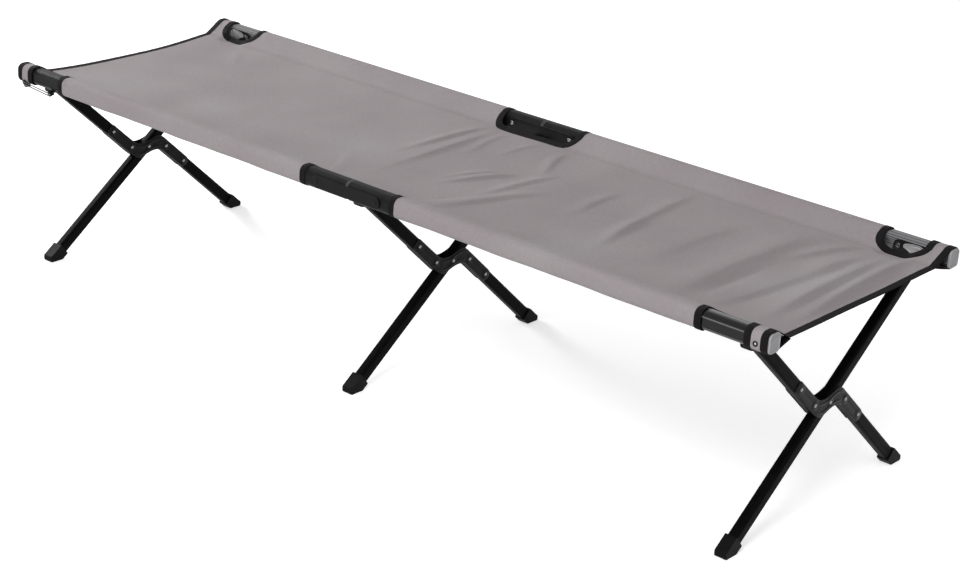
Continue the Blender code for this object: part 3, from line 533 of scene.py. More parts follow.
FACING = np.array([(0.8560, 0.4165), (0.8650, 0.4192), (0.8760, 0.4208), (0.8870, 0.4212), (0.8965, 0.4190),
                   (0.8985, 0.4110), (0.8985, 0.4010), (0.8980, 0.3910), (0.8930, 0.3860), (0.8830, 0.3860),
                   (0.8775, 0.3900), (0.8765, 0.3975), (0.8710, 0.4035), (0.8630, 0.4075), (0.8560, 0.4095)])
FACING_MIDDLE = np.array([0.8860, 0.4095])
FACING_SEAT = 0.25918       # inner face of the bracket
PRESSED_GREY = finish("pressed_grey", (0.26, 0.26, 0.265), (0.36, 0.36, 0.365), (0.34, 0.46), 0.5,
                      (80, 80, 80), 700, 0.2, (0.5, 0.5, 0.51))
# Share of the way from the middle to the edge, and the height there in millimetres
facing_share = np.array([0, 0.3, 0.55, 0.62, 0.66, 0.70, 0.76, 0.80, 0.92, 0.98, 1, 1, 0])
facing_lift = np.array([1.1, 1.1, 1.1, 1.0, 0.6, 0.35, 0.35, 0.7, 0.7, 0.6, 0.4, 0, 0]) / 1000


def spread_evenly(line, count, smooth, closed=False):
    """A polyline resampled at even shares of each side, then run through a bell-shaped average."""
    line = np.concatenate([line, line[:1]]) if closed else line
    share = np.linspace(0, len(line) - 1, count, endpoint=not closed)
    even = np.stack([np.interp(share, np.arange(len(line)), line[:, k]) for k in (0, 1)], -1)
    reach = np.arange(-3 * smooth, 3 * smooth + 1)
    weight = np.exp(-0.5 * (reach / smooth) ** 2)
    border = ((3 * smooth, 3 * smooth), (0, 0))
    held = np.pad(even, border, "wrap") if closed else np.pad(even, border, "reflect", reflect_type="odd")
    return np.stack([np.convolve(held[:, k], weight / weight.sum(), "valid") for k in (0, 1)], -1)


facing_edge = spread_evenly(FACING, 90, 2, closed=True)
flat = FACING_MIDDLE + (facing_edge - FACING_MIDDLE) * facing_share[:, None, None]
for side_name, side, end_name, end in CORNERS:
    depth = side * (FACING_SEAT - facing_lift)[:, None]
    facing = stacked(end * flat[..., 0], depth, flat[..., 1])
    build(f"{side_name}_facing_{end_name}", f"{side_name}_bracket_{end_name}", PRESSED_GREY,
          [facing])


# Leg tubes. Black anodised aluminium. The short legs are fluted on the two faces that look along
# the cot, and the long legs are plain. All are round-cornered tubes, sawn square.

HUB = np.array([0.0, 0.2036])
LEG_DEPTH = 0.024
LEG_WIDTH = 0.020
LEG_CORNER = 0.005
LEG_WALL = 0.0015
LEG_OFFSET = 0.026
PIN_OVERHANG = 0.0068
SHORT_LEG_START = 0.0205
LEG_END_Z = 0.0143
FLUTE_PITCH = 0.0031
FLUTE_DEPTH = 0.00045
FLUTE_BORDER = 0.0002
FLUTES = 5
LEG_BLACK = finish("leg_black", (0.0015, 0.0015, 0.0018), (0.0035, 0.0035, 0.004), (0.40, 0.52), 0.0,
                   (30, 30, 30), 1100, 0.15, None, 0.03)


def unit(ways):
    """Directions of length one."""
    return ways / np.linalg.norm(ways, axis=-1, keepdims=True)


# The leg pair's own plane, as distance from the middle of the cot and height
far_pin = np.array([PIN_Y, PIN_Z])
near_pin = np.array([-PIN_Y, PIN_Z])
long_up = unit(far_pin - HUB)
short_slope = math.atan2(PIN_Z - HUB[1], PIN_Y) + math.asin(LEG_OFFSET / np.linalg.norm(HUB - near_pin))
short_down = np.array([math.cos(short_slope), -math.sin(short_slope)])
short_normal = np.array([math.sin(short_slope), math.cos(short_slope)])


def hub_point(along, across):
    """A point given along the short legs and square to them, from the middle of the hub, as y and z."""
    return HUB + short_down * along + short_normal * across


def leg_tube(start, stop, x, flutes):
    """A tube between two points of the leg pair's plane. Where it is fluted, a cosine of height cuts
    rounded grooves into the faces that look along the cot."""
    length = np.linalg.norm(stop - start)
    direction = (stop - start) / length
    steps = (6, 60 if flutes else 6)
    outer, outward = rounded_loop(LEG_WIDTH, LEG_DEPTH, LEG_CORNER, *steps)
    if flutes:
        band = np.clip((FLUTES * FLUTE_PITCH / 2 - np.abs(outer[:, 1])) / FLUTE_BORDER, 0, 1)
        groove = (0.5 + 0.5 * np.cos(2 * np.pi * outer[:, 1] / FLUTE_PITCH)) ** 2
        outer = outer - outward * (FLUTE_DEPTH * band * groove * (np.abs(outward[:, 0]) > 0.99))[:, None]
    bore = rounded_loop(LEG_WIDTH - 2 * LEG_WALL, LEG_DEPTH - 2 * LEG_WALL, LEG_CORNER - LEG_WALL, *steps)[0]
    up = (0, direction[1], -direction[0])
    return sawn_tube(outer, bore, LEG_WIDTH, length, (x, *start), (1, 0, 0), up, (0, *direction))


upper_start = near_pin - short_down * PIN_OVERHANG
upper_end = hub_point(-SHORT_LEG_START, -LEG_OFFSET)
lower_start = hub_point(SHORT_LEG_START, LEG_OFFSET)
lower_end = lower_start + short_down * ((lower_start[1] - LEG_END_Z) / -short_down[1])
long_start = far_pin + long_up * PIN_OVERHANG
long_end = HUB - long_up * ((HUB[1] - LEG_END_Z) / long_up[1])
TUBES = {"upper_leg": (upper_start, upper_end, "short_legs"),
         "lower_leg": (lower_start, lower_end, "short_legs"),
         "long_leg": (long_start, long_end, "long_leg")}
for pair, x in leg_planes.items():
    for name, (start, stop, body) in TUBES.items():
        tube = leg_tube(start, stop, x, flutes=body == "short_legs")
        leg = build(f"{pair}_{name}_tube", f"{pair}_{body}", LEG_BLACK, [tube], along=True)
        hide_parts(f"{pair}_{name}")


# Hub plates. Two pressed steel plates clamp each pair of half legs and cross the long leg between
# them. Their edges are folded round the tubes, and a rib and a raised boss round each rivet stiffen them.

HUB_PLATE = 0.0015
HUB_FACE = 0.0118           # outer face, from the middle of the leg pair
HUB_BOSS = 0.0007
EDGE_FOLD = 0.0022          # how far the arms' edges fold down, and the share of the half width they take
FOLD_SHARE = 0.26
WAIST_LIP = 0.0004
WAIST_RIB = 0.0013
RIB_AT = 0.52               # share of the half width
RIB_SPREAD = 0.15
ARM_GROOVE = 0.0004
GROOVE_SPREAD = 0.20
GROOVE_STOP = 0.020         # short of the arm's end, and the run in which it fades
GROOVE_FADE = 0.006
SIDE_ROUND = 0.04           # share of the half width that is rounded
CLOSING = 0.0008            # length in which the plate's thickness closes at each end
ARM_END = 0.123
ARM_START = 0.022
ARM_BLEND = 0.016           # run in which the waist's relief gives way to the arm's
ARM_CORNER = 0.007
HUB_RIVETS = ((-0.110, -LEG_OFFSET), (-0.042, -LEG_OFFSET), (0.042, LEG_OFFSET), (0.110, LEG_OFFSET))
# Height, radius and softness of the boss round a rivet and round the pivot
RIVET_BOSS = (0.0008, 0.0085, 0.0006)
PIVOT_BOSS = (HUB_BOSS, 0.0080, 0.0006)
HUB_COAT = finish("hub_coat", (0.003, 0.003, 0.0035), (0.007, 0.007, 0.0075), (0.24, 0.36), 0.0,
                  (60, 60, 60), 420, 0.35, (0.05, 0.05, 0.052), 0.09)
# One edge of the plate as far as the pivot. The other half is the same turned half round.
outer_half = np.array([(-0.123, -0.0385), (-0.055, -0.0385), (-0.022, -0.0385), (-0.004, -0.0335),
                       (0.0105, -0.0080)])
inner_half = np.array([(-0.123, -0.0135), (-0.060, -0.0135), (-0.034, -0.0130), (-0.0205, -0.0035),
                       (-0.0105, 0.0080)])
edge_one, edge_two = (spread_evenly(np.concatenate([half, -other[::-1][1:]]), 121, 4)
                      for half, other in ((outer_half, inner_half), (inner_half, outer_half)))


def boss(flat, spot, height, radius, softness):
    """A raised round field: a soft step down at its radius."""
    distance = np.linalg.norm(flat - np.array(spot), axis=-1)
    return height / (1 + np.exp((distance - radius) / softness))


def hub_plate(x, facing):
    """A ribbon between two edges. Its relief is a fold at the edges and a shallow groove over the arms,
    a lip and two ribs over the waist, and a boss round each rivet. The groove and the ribs are bell
    curves across the plate. The rows run round the sheet, and its thickness and width close in a
    quarter circle at each end."""
    middle = (edge_one + edge_two) / 2
    half = (edge_two - edge_one) / 2
    run = ARM_END - np.abs(middle[:, 0])
    inset = np.clip(ARM_CORNER - run, 0, ARM_CORNER)
    width = np.linalg.norm(half, axis=1)
    narrowed = width - ARM_CORNER + np.sqrt(np.maximum(ARM_CORNER ** 2 - inset ** 2, 0))
    half = half * (narrowed / width)[:, None]
    v = np.linspace(-1, 1, 33)
    flat = middle[:, None] + half[:, None] * v[None, :, None]
    on_arm = np.clip((np.abs(middle[:, 0]) - ARM_START) / ARM_BLEND, 0, 1)[:, None]
    over = np.clip((np.abs(v) - 1 + FOLD_SHARE) / FOLD_SHARE, 0, 1)[None, :]
    relief = -EDGE_FOLD * over ** 2 * on_arm + WAIST_LIP * over * (1 - on_arm)
    rib = np.exp(-((np.abs(v)[None, :] - RIB_AT) / RIB_SPREAD) ** 2) * (1 - on_arm)
    fade = np.clip((run - GROOVE_STOP) / GROOVE_FADE, 0, 1)[:, None]
    groove = np.exp(-(v[None, :] / GROOVE_SPREAD) ** 2) * on_arm * fade
    relief = relief + WAIST_RIB * rib - ARM_GROOVE * groove
    for rivet in HUB_RIVETS:
        relief = relief + boss(flat, rivet, *RIVET_BOSS)
    relief = relief + boss(flat, (0, 0), *PIVOT_BOSS)
    closing = np.minimum(run, CLOSING) / CLOSING
    thin = np.sqrt(np.maximum(1 - (1 - closing) ** 2, 0))[:, None] * HUB_PLATE / 2
    rounded = np.clip((np.abs(v) - 1 + SIDE_ROUND) / SIDE_ROUND, 0, 1)
    side = np.sqrt(1 - rounded ** 2)[None, :]
    sheet_middle = HUB_FACE - HUB_PLATE / 2 + relief
    top, bottom = sheet_middle + thin * side, sheet_middle - thin * side
    place = np.concatenate([flat, flat[:, ::-1]], axis=1)
    height = np.concatenate([top, bottom[:, ::-1]], axis=1)
    yz = hub_point(place[..., :1], place[..., 1:])
    return np.concatenate([x + facing * height[..., None], yz], axis=-1)


seat = HUB_FACE + HUB_BOSS
rivet_profile = domed_pin(shank=0.0022, head=0.0036, edge=0.0003, dome=0.0012, low=-seat, high=seat)
for pair, x in leg_planes.items():
    body = pair + "_short_legs"
    for name, facing in (("hub_front", 1), ("hub_back", -1)):
        plate = build(f"{pair}_{name}_pressing", body, HUB_COAT, [hub_plate(x, facing)])
        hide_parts(f"{pair}_{name}")
    rivets = [turned(rivet_profile, (x, *hub_point(*spot)), (1, 0, 0)) for spot in ((0, 0), *HUB_RIVETS)]
    build(pair + "_hub_rivets", body, LINK_STEEL, rivets[1:])
    pivot = build(pair + "_hub_pivot_domed", body, LINK_STEEL, rivets[:1])
    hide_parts(pair + "_hub_pivot")


# Feet. Moulded black rubber, pushed over the lower leg ends. Each has a flat sole, an upright toe
# and softened edges, and four upright blocks on the face of the toe.

RUBBER = finish("black_rubber", (0.003, 0.003, 0.003), (0.006, 0.006, 0.006), (0.45, 0.6), 0.0,
                (80, 80, 80), 650, 0.55, None, 0.07)
FOOT_EDGE = 0.0009
BLOCK = (0.0044, 0.0092)
BLOCK_PITCH = 0.0056
TOES = {"near": (0.2751, "long_leg"), "far": (0.2743, "short_legs")}
BLOCK_Z = 0.0062
loop = rounded_loop(*BLOCK, 0.0008, 3)[0]
block_loops = [loop * 0, loop, loop, loop * (0.86, 0.93), loop * 0]
block_depths = [-0.0005, -0.0005, 0.0004, 0.0008, 0.0008]
for pair, x in leg_planes.items():
    for side_name, side in SIDES.items():
        node = f"{pair}_foot_{side_name}"
        toe_y, carrier = TOES[side_name]
        dress(node, RUBBER, FOOT_EDGE)
        blocks = [carried(block_loops, block_depths, (x + place * BLOCK_PITCH, side * toe_y, BLOCK_Z),
                          (1, 0, 0), (0, 0, 1), (0, side, 0)) for place in (-1.5, -0.5, 0.5, 1.5)]
        build(node + "_blocks", f"{pair}_{carrier}", RUBBER, blocks)


# Stay and eyelets. A thin closed wire loop hangs between two black eyelets below the near rail at
# its left end. At the right end a small eyelet sits in the sleeve and two rivets show below it.

WIRE = finish("drawn_wire", (0.07, 0.07, 0.072), (0.13, 0.13, 0.132), (0.22, 0.32), 1.0, DRAWN, 900, 0.05)
EYELETS = (((-0.926, -0.2945, 0.3945), 0.0052, "near_rail_left"),
           ((-0.842, -0.2945, 0.3885), 0.0048, "near_rail_left"),
           ((0.924, -0.2945, 0.4075), 0.0048, "near_rail_right"))
CLIP = (0.0090, 0.0090)
CLIP_Y = -0.2840
STAY_ENDS = np.array([(-0.923, 0.3940), (-0.845, 0.3885)])
STAY_Y = -0.2967
STAY_HALF = 0.0024
STAY_WIRE = 0.0012


def swept(line, across, up, loop):
    """A loop of two coordinates carried along a line of places. Each of its two directions is the same
    for all places or has a row for each."""
    across, up = (np.broadcast_to(way, line.shape)[:, None] for way in (across, up))
    return line[:, None] + across * loop[:, :1] + up * loop[:, 1:]


# A half circle about each end, as x and height
stay_along = unit(STAY_ENDS[1] - STAY_ENDS[0])
stay_square = np.array([-stay_along[1], stay_along[0]])
angle = np.linspace(np.pi / 2, 3 * np.pi / 2, 13)[:, None]
bend = STAY_HALF * (np.cos(angle) * stay_along + np.sin(angle) * stay_square)
path = np.concatenate([STAY_ENDS[0] + bend, STAY_ENDS[1] - bend])
centre_line = stacked(path[:, 0], STAY_Y, path[:, 1])
heading = unit(np.roll(path, -1, axis=0) - np.roll(path, 1, axis=0))
square = stacked(-heading[:, 1], 0, heading[:, 0])
turn = np.linspace(0, 2 * np.pi, 10, endpoint=False)
wire_loop = STAY_WIRE * stacked(np.cos(turn), np.sin(turn))
wire = swept(centre_line, square, (0, 1, 0), wire_loop)
build("near_stay_wire", "near_rail_left", WIRE, [wire], along=True)
clip_z = RAIL_Z - RAIL_SIZE[1] / 2 - CLIP[1] / 2 - 0.0001
loop = rounded_loop(*CLIP, 0.002, 4)[0]
clips = [carried([loop * 0, loop, loop, loop * 0.9, loop * 0], [0, 0, 0.0100, 0.0106, 0.0106],
                 (x, CLIP_Y, clip_z), (1, 0, 0), (0, 0, 1), (0, NEAR, 0)) for x in STAY_ENDS[:, 0]]
build("near_stay_clips", "near_rail_left", WASHER_BLACK, clips)
for number, (spot, radius, body) in enumerate(EYELETS):
    ring = [(0.45 * radius, -0.0030), (radius, -0.0030), (radius, 0.0010), (0.8 * radius, 0.0016),
            (0.45 * radius, 0.0010)]
    stud = [(0, 0.0014), (0.3 * radius, 0.0011), (0.5 * radius, 0.0006), (0.5 * radius, -0.0028),
            (0, -0.0028)]
    axis = (0, NEAR, 0)
    build(f"near_eyelet_{number}", body, WASHER_BLACK, [turned(ring, spot, axis)], along=True)
    build(f"near_eyelet_stud_{number}", body, STEEL, [turned(stud, spot, axis)])


# Sling. One sheet of grey-taupe woven polyester, cut in three here at the two lines where the frame
# folds. It slopes down from the top of each rail to the seam that closes the sleeve, and the panel
# between the seams hangs almost flat, with soft creases across it.

CLOTH = 0.0006
SLEEVE_GROW = 0.0022        # outer face of the cloth, from the rail
PANEL_EDGE = RAIL_Y - RAIL_SIZE[0] / 2 + RAIL_CORNER
FOLD_EDGE = 0.258           # where the panel gives way to the sleeves, just inside the rails
PANEL_REACH = FOLD_EDGE + 0.002
SEAM = np.array([0.226, 0.4052])
SEAM_BELOW = np.array([0.2275, 0.4039])
PANEL_SAG = 0.006
HEM_X = 0.9455
HEM_BOW = 0.010             # depth of the shallow curve of the ends, which begins at HEM_BOW_START
HEM_BOW_START = 0.78
LINK_LINES = (SPLIT_X - LINK_HALF, SPLIT_X + LINK_HALF)
LAP = 0.017                 # how far the three stretches overlap to each side of a fold line
LAP_THIN = 0.00006
LAP_DROP = 0.00004          # gap under the overlap
LAP_END = 0.02
CUT_CORNER = 0.022
CUT_SLOPE = 0.03            # run along the cot in which the cloth sinks beside a cut-out
CUT_DEPTH = 0.045           # and across the cot
# Each cut-out from x to x, its inner edge, and how far the cloth sinks there
CUTS = {NEAR: ((-0.9015, -0.8155, 0.2435, 0.001), (-0.093, 0.123, 0.234, 0.002),
               (0.8155, 0.9015, 0.2435, 0.001)),
        FAR: ((-0.9015, -0.8155, 0.2415, 0.007), (-0.079, 0.109, 0.234, 0.001),
              (0.8155, 0.9015, 0.2415, 0.007))}
COLUMNS = 60
COLUMN_POWER = 1.6
ROW_PITCH = 0.004
SWELLS = 9
SWELL = 0.00035
SWELL_BORDER = 0.06
CREASE_WANDER = 0.004
CREASE_SIDES = (0.75, 1.45)  # widths of its two sides, as shares
SEAM_LINE = 0.0012          # half the width of the sunk line along a seam, which carries painted shade
# share of painted shade along a seam
SEAM_SHADE = 0.45
SEAM_DEPTH = 4.0            # against the height of the weave
FLECK_DRAWN = 14            # how much longer than wide the flecks of a thread are
FLECK_HEIGHT = 0.6          # against the height of the weave
WEAVE_HEIGHT = 0.18         # against the pitch of the threads
FLECK_RANGE = (0.7, 1.3)
FADED_RANGE = (1.1, 1.9)
CLOTH_ROUGH = (0.74, 0.9)
# Each crease from x, y to x, y, then its width and its height
CREASES = ((-0.085, 0.205, -0.118, -0.030, 0.010, 0.0032), (-0.058, 0.200, -0.061, -0.130, 0.012, 0.0026),
           (-0.030, 0.205, -0.020, 0.060, 0.009, 0.0018), (0.060, 0.205, 0.030, 0.090, 0.009, 0.0018),
           (0.112, 0.040, 0.045, -0.075, 0.009, 0.0032), (0.138, 0.050, 0.059, -0.110, 0.010, 0.0036),
           (0.125, 0.200, 0.168, 0.070, 0.010, 0.0028), (0.195, 0.100, 0.158, -0.120, 0.011, 0.0032),
           (0.238, 0.000, 0.147, -0.223, 0.012, 0.0032), (0.330, 0.120, 0.334, -0.050, 0.012, 0.0026),
           (0.436, 0.190, 0.461, -0.110, 0.013, 0.0030), (0.450, 0.035, 0.475, -0.155, 0.012, 0.0026),
           (0.585, 0.150, 0.560, -0.120, 0.024, 0.0028), (0.704, 0.180, 0.685, -0.240, 0.028, 0.0064),
           (0.826, 0.185, 0.765, -0.235, 0.022, 0.0086), (0.860, 0.195, 0.864, -0.205, 0.016, 0.0062),
           (0.893, 0.222, 0.910, -0.155, 0.013, 0.0055), (0.800, 0.215, 0.720, 0.060, 0.013, 0.0036),
           (0.812, 0.090, 0.782, -0.190, 0.026, -0.0070), (0.730, 0.030, 0.726, -0.200, 0.020, -0.0040),
           (-0.100, -0.215, -0.170, -0.080, 0.012, 0.0016), (0.130, -0.215, 0.200, -0.060, 0.012, 0.0018),
           (-0.800, 0.215, -0.730, 0.100, 0.012, 0.0010), (-0.300, 0.150, -0.310, -0.080, 0.030, 0.0012))
rng = np.random.default_rng(11)


def cloth_finish(name, dark, light, pitch, slub, sheen, bump, seam=None, specular=0.2):
    """Woven cloth. Two sine waves across the cloth's own flat coordinates make the over-and-under of
    warp and weft, noise drawn out along each thread gives the flecks, and a broad noise the fading.
    A seam is a sunk line with painted shade along it, at its own distance from the middle of the cloth."""
    material, tree, shader = new_material(name)
    flat = add_node(tree, "UVMap", {"uv_map": "cloth"}).outputs["UV"]
    object_place = add_node(tree, "TexCoord").outputs["Object"]
    split = add_node(tree, "SeparateXYZ", Vector=flat)
    waves = [calc(tree, "SINE", calc(tree, "MULTIPLY", split.outputs[axis], 2 * math.pi / pitch))
             for axis in ("X", "Y")]
    crossing = calc(tree, "MULTIPLY", *waves)
    threads = [add_node(tree, "Mapping", Vector=flat, Scale=scale).outputs["Vector"]
               for scale in ((slub, slub * FLECK_DRAWN, 1), (slub * FLECK_DRAWN, slub, 1))]
    fleck = calc(tree, "ADD", *(noise(tree, thread, 1.0, 3.0) for thread in threads))
    blend = calc(tree, "ADD", fleck, noise(tree, object_place, 4.0, 2.0))
    tone = mixed(tree, remap(tree, blend, *FADED_RANGE), dark, light)
    height = calc(tree, "MULTIPLY_ADD", fleck, FLECK_HEIGHT, crossing)
    if seam:
        off = calc(tree, "SUBTRACT", calc(tree, "ABSOLUTE", split.outputs["Y"]), seam)
        sunk_and_shaded = remap(tree, calc(tree, "ABSOLUTE", off), 0.0, SEAM_LINE, 1.0, 0.0)
        # painted shade along the seam's line
        tone = mixed(tree, calc(tree, "MULTIPLY", sunk_and_shaded, SEAM_SHADE), tone, dark)
        height = calc(tree, "MULTIPLY_ADD", sunk_and_shaded, -SEAM_DEPTH, height)
    relief = add_node(tree, "Bump", Height=height, Strength=bump,
                      Distance=pitch * WEAVE_HEIGHT).outputs["Normal"]
    rough = remap(tree, fleck, *FLECK_RANGE, *CLOTH_ROUGH)
    set_sockets(tree, shader, Base_Color=tone, Roughness=rough,
                Normal=relief, Sheen_Weight=sheen, Sheen_Roughness=0.5, Specular_IOR_Level=specular)
    return material


def ease(share):
    """A smooth step from 0 to 1."""
    share = np.clip(share, 0, 1)
    return share * share * (3 - 2 * share)


def touching(start, side, grow):
    """Where a straight line from a point touches the cloth's arc round the rail's inner corner, above
    the rail for side 1 or below it for side -1, and the angle at which the line leans."""
    centre = np.array([PANEL_EDGE, RAIL_Z + side * (RAIL_SIZE[1] / 2 - RAIL_CORNER)])
    radius = RAIL_CORNER + grow
    lean = math.atan2(*(centre - start)[::-1]) + side * math.asin(radius / np.linalg.norm(centre - start))
    return centre + side * radius * np.array([-math.sin(lean), math.cos(lean)]), lean


def run_along(path):
    """Distance along a path."""
    return np.concatenate([[0], np.cumsum(np.linalg.norm(np.diff(path, axis=0), axis=1))])


# Height of the cloth's upper face by distance from the middle of the cot: a parabola to the seam, a
# straight slope to the rail and the arc over its corner, run through a bell-shaped average
touch, lean = touching(SEAM, 1, SLEEVE_GROW)
section_y = np.linspace(-0.010, PANEL_EDGE + 0.012, 1476)
radius = RAIL_CORNER + SLEEVE_GROW
arc = np.sqrt(radius ** 2 - np.clip(PANEL_EDGE - section_y, 0, radius) ** 2)
arc = RAIL_Z + RAIL_SIZE[1] / 2 - RAIL_CORNER + arc
slope = SEAM[1] + (section_y - SEAM[0]) * math.tan(lean)
hung = SEAM[1] - PANEL_SAG * (1 - (section_y / SEAM[0]) ** 2)
section_z = np.where(section_y < SEAM[0], hung, np.where(section_y < touch[0], slope, arc))
section = spread_evenly(stacked(section_y, section_z), len(section_y), 6)
section_run = run_along(section)
section_run -= np.interp(0, section[:, 0], section_run)
SEAM_RUN = float(np.interp(SEAM[0], section[:, 0], section_run))
CANVAS = cloth_finish("sling_canvas", (0.290, 0.248, 0.259), (0.385, 0.358, 0.365), 0.0011, 90, 0.08, 0.5,
                      SEAM_RUN)
swell_angle = rng.uniform(0, np.pi, SWELLS)
swell_phase = rng.uniform(0, 2 * np.pi, SWELLS)
swell_length = rng.uniform(0.11, 0.34, SWELLS)


def cloth_height(x, y):
    """Height of the cloth's upper face: the section, plus long low swells and the creases. Across a
    crease its height is a bell with one steeper side, and along it the crease swells and fades. At
    each cut-out the cloth sinks in a smooth step towards the edge, where no rail carries it."""
    height = np.interp(np.abs(y), *section.T)
    inner = ease((FOLD_EDGE - np.abs(y)) / SWELL_BORDER)
    for angle, phase, length in zip(swell_angle, swell_phase, swell_length):
        run = x * np.cos(angle) + y * np.sin(angle)
        height = height + SWELL * inner * np.sin(2 * np.pi * run / length + phase)
    for x0, y0, x1, y1, width, rise in CREASES:
        length = math.hypot(x1 - x0, y1 - y0)
        along, square = ((x1 - x0) / length, (y1 - y0) / length), ((y0 - y1) / length, (x1 - x0) / length)
        share = ((x - x0) * along[0] + (y - y0) * along[1]) / length
        off = (x - x0) * square[0] + (y - y0) * square[1] + CREASE_WANDER * np.sin(share * 5)
        fade = ease((share + 0.1) / 0.35) * (1 - ease((share - 0.5) / 0.6))
        steep = np.where(off > 0, *CREASE_SIDES) * width
        height = height + rise * inner * fade * np.exp(-(off / steep) ** 2)
    for side, cuts in CUTS.items():
        for start, stop, edge, slack in cuts:
            between = ease((x - start) / CUT_SLOPE) * ease((stop - x) / CUT_SLOPE)
            height = height - slack * between * ease((side * y - edge + CUT_DEPTH) / CUT_DEPTH)
    return height


def corner_curve(share):
    """A quarter ellipse from 0 to 1."""
    return np.sqrt(1 - (1 - np.clip(share, 0, 1)) ** 2)


def cloth_edge(x, side):
    """How far out the panel reaches at x: just inside the rail, or to the inner edge of a cut-out,
    whose corners are quarter ellipses."""
    reach = np.full_like(x, PANEL_REACH)
    for start, stop, inner, _ in CUTS[side]:
        dip = corner_curve((x - start) / CUT_CORNER) * corner_curve((stop - x) / CUT_CORNER)
        reach = reach - (PANEL_REACH - inner) * dip
    return reach


def stations(start, stop):
    """Places along the cot: every 4 mm, and close together at the corners of the cut-outs."""
    turn = CUT_CORNER * (1 - np.cos(np.linspace(0, np.pi / 2, 9)))
    corners = [np.concatenate([cut[0] + turn, cut[1] - turn, [cut[0] - 1e-5, cut[1] + 1e-5]])
               for side in CUTS for cut in CUTS[side]]
    even = np.linspace(start, stop, int(round((stop - start) / ROW_PITCH)) + 1)
    every = np.unique(np.round(np.concatenate([even, *corners]), 6))
    every = every[(every >= start - 1e-9) & (every <= stop + 1e-9)]
    kept = np.concatenate([[True], np.diff(every) > 8e-6])
    return every[kept]


def bowed(x, y):
    """Ends of the sling are cut in a shallow curve, so places near them move in towards the middle."""
    near_end = ease((np.abs(x) - HEM_BOW_START) / (HEM_X - HEM_BOW_START))
    return x - np.sign(x) * HEM_BOW * near_end * (1 - np.clip(np.abs(y) / FOLD_EDGE, 0, 1) ** 2)


def skived(x):
    """Thickness of the two outer stretches: full, but thinned to an edge where they lap the middle."""
    free = np.minimum(np.abs(x - LINK_LINES[0] - LAP), np.abs(x - LINK_LINES[1] + LAP))
    return LAP_THIN + (CLOTH - LAP_THIN) * ease(free / (2 * LAP))


def lapped(x, stretch):
    """The middle stretch dips under its neighbours by their thickness where they lap it."""
    if stretch != "middle":
        return np.zeros_like(x)
    inside = np.minimum(x - LINK_LINES[0], LINK_LINES[1] - x) - LAP
    beyond = 1 - ease(inside / LAP_END)
    return -np.where(inside < 0, skived(x), LAP_THIN * beyond) - LAP_DROP * beyond


def shell(outer, inner):
    """Two faces of one sheet joined round its edges. Each row goes out along one face and back along
    the other, and the faces meet in the first and in the last row."""
    there = np.concatenate([outer[:1], outer, outer[-1:]])
    back = np.concatenate([outer[:1], inner, outer[-1:]])
    return np.concatenate([there, back[:, ::-1]], axis=1)


def flattens(piece):
    """A piece gets a copy of its mesh for itself."""
    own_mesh(piece)


STRETCHES = {"left": (-HEM_X, LINK_LINES[0] + LAP, "near_rail_left"),
             "middle": (LINK_LINES[0] - LAP, LINK_LINES[1] + LAP, "near_link"),
             "right": (LINK_LINES[1] - LAP, HEM_X, "near_rail_right")}
for stretch, (start, stop, body) in STRETCHES.items():
    x = stations(start, stop)[:, None]
    # Columns lie closer together towards the rails, by a power of the distance left
    even = np.linspace(-1, 1, 2 * COLUMNS + 1)[None, :]
    share = np.sign(even) * (1 - (1 - np.abs(even)) ** COLUMN_POWER)
    y = np.where(share < 0, cloth_edge(x, NEAR), cloth_edge(x, FAR)) * share
    top = stacked(bowed(x, y), y, cloth_height(x, y) + lapped(x, stretch))
    thickness = np.full_like(x, CLOTH) if stretch == "middle" else skived(x)
    bottom = top - thickness[..., None] * (0, 0, 1)
    flat = stacked(x, np.sign(y) * np.interp(np.abs(y), section[:, 0], section_run))
    panel = build(f"sling_panel_{stretch}", body, CANVAS, [shell(top, bottom)],
                  flat=shell(flat, flat))
    flattens(panel)
    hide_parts(f"sling_{stretch}")


# Seams. Two rows of thread run along each seam that closes a sleeve. Each stitch is a short
# rounded capsule, half sunk into the cloth, and the rows stop at the bindings.

STITCH_PITCH = 0.0042
STITCH_ROWS = (0.2222, 0.2292)
STITCH_ENDS = (0.016, 0.004)
STITCH_CLEAR = 0.0165       # of the edge of a cut-out
STITCH_LIFT = 0.0001
THREAD = finish("sewing_thread", (0.15, 0.14, 0.14), (0.22, 0.21, 0.21), (0.6, 0.8), 0.0, (500, 500, 500),
                2500, 0.4)
capsule_along = np.array([-0.0013, -0.0011, 0.0, 0.0011, 0.0013])
capsule_radius = np.array([0.0, 0.00026, 0.00032, 0.00026, 0.0])
turn = np.linspace(0, 2 * np.pi, 6, endpoint=False)
capsule = stacked(capsule_along[:, None], capsule_radius[:, None] * np.cos(turn),
                  capsule_radius[:, None] * np.sin(turn))
for stretch in ENDS:
    start, stop, body = STRETCHES[stretch]
    spots = []
    for side in (NEAR, FAR):
        for row in STITCH_ROWS:
            x = np.arange(start + STITCH_ENDS[0], stop - STITCH_ENDS[1], STITCH_PITCH)
            x = x[cloth_edge(x, side) > row + STITCH_CLEAR]
            y = np.full_like(x, side * row)
            spots.append(stacked(bowed(x, y), y, cloth_height(x, y) + STITCH_LIFT))
    spots = np.concatenate(spots)
    flattens(build(f"seam_stitches_{stretch}", body, THREAD, list(spots[:, None, None] + capsule)))


# Sleeves. At each rail the sheet goes over the top and round the rail, and a lower layer comes back
# from under the rail to the seam. The sleeves stop at the cut-outs, where the frame shows.

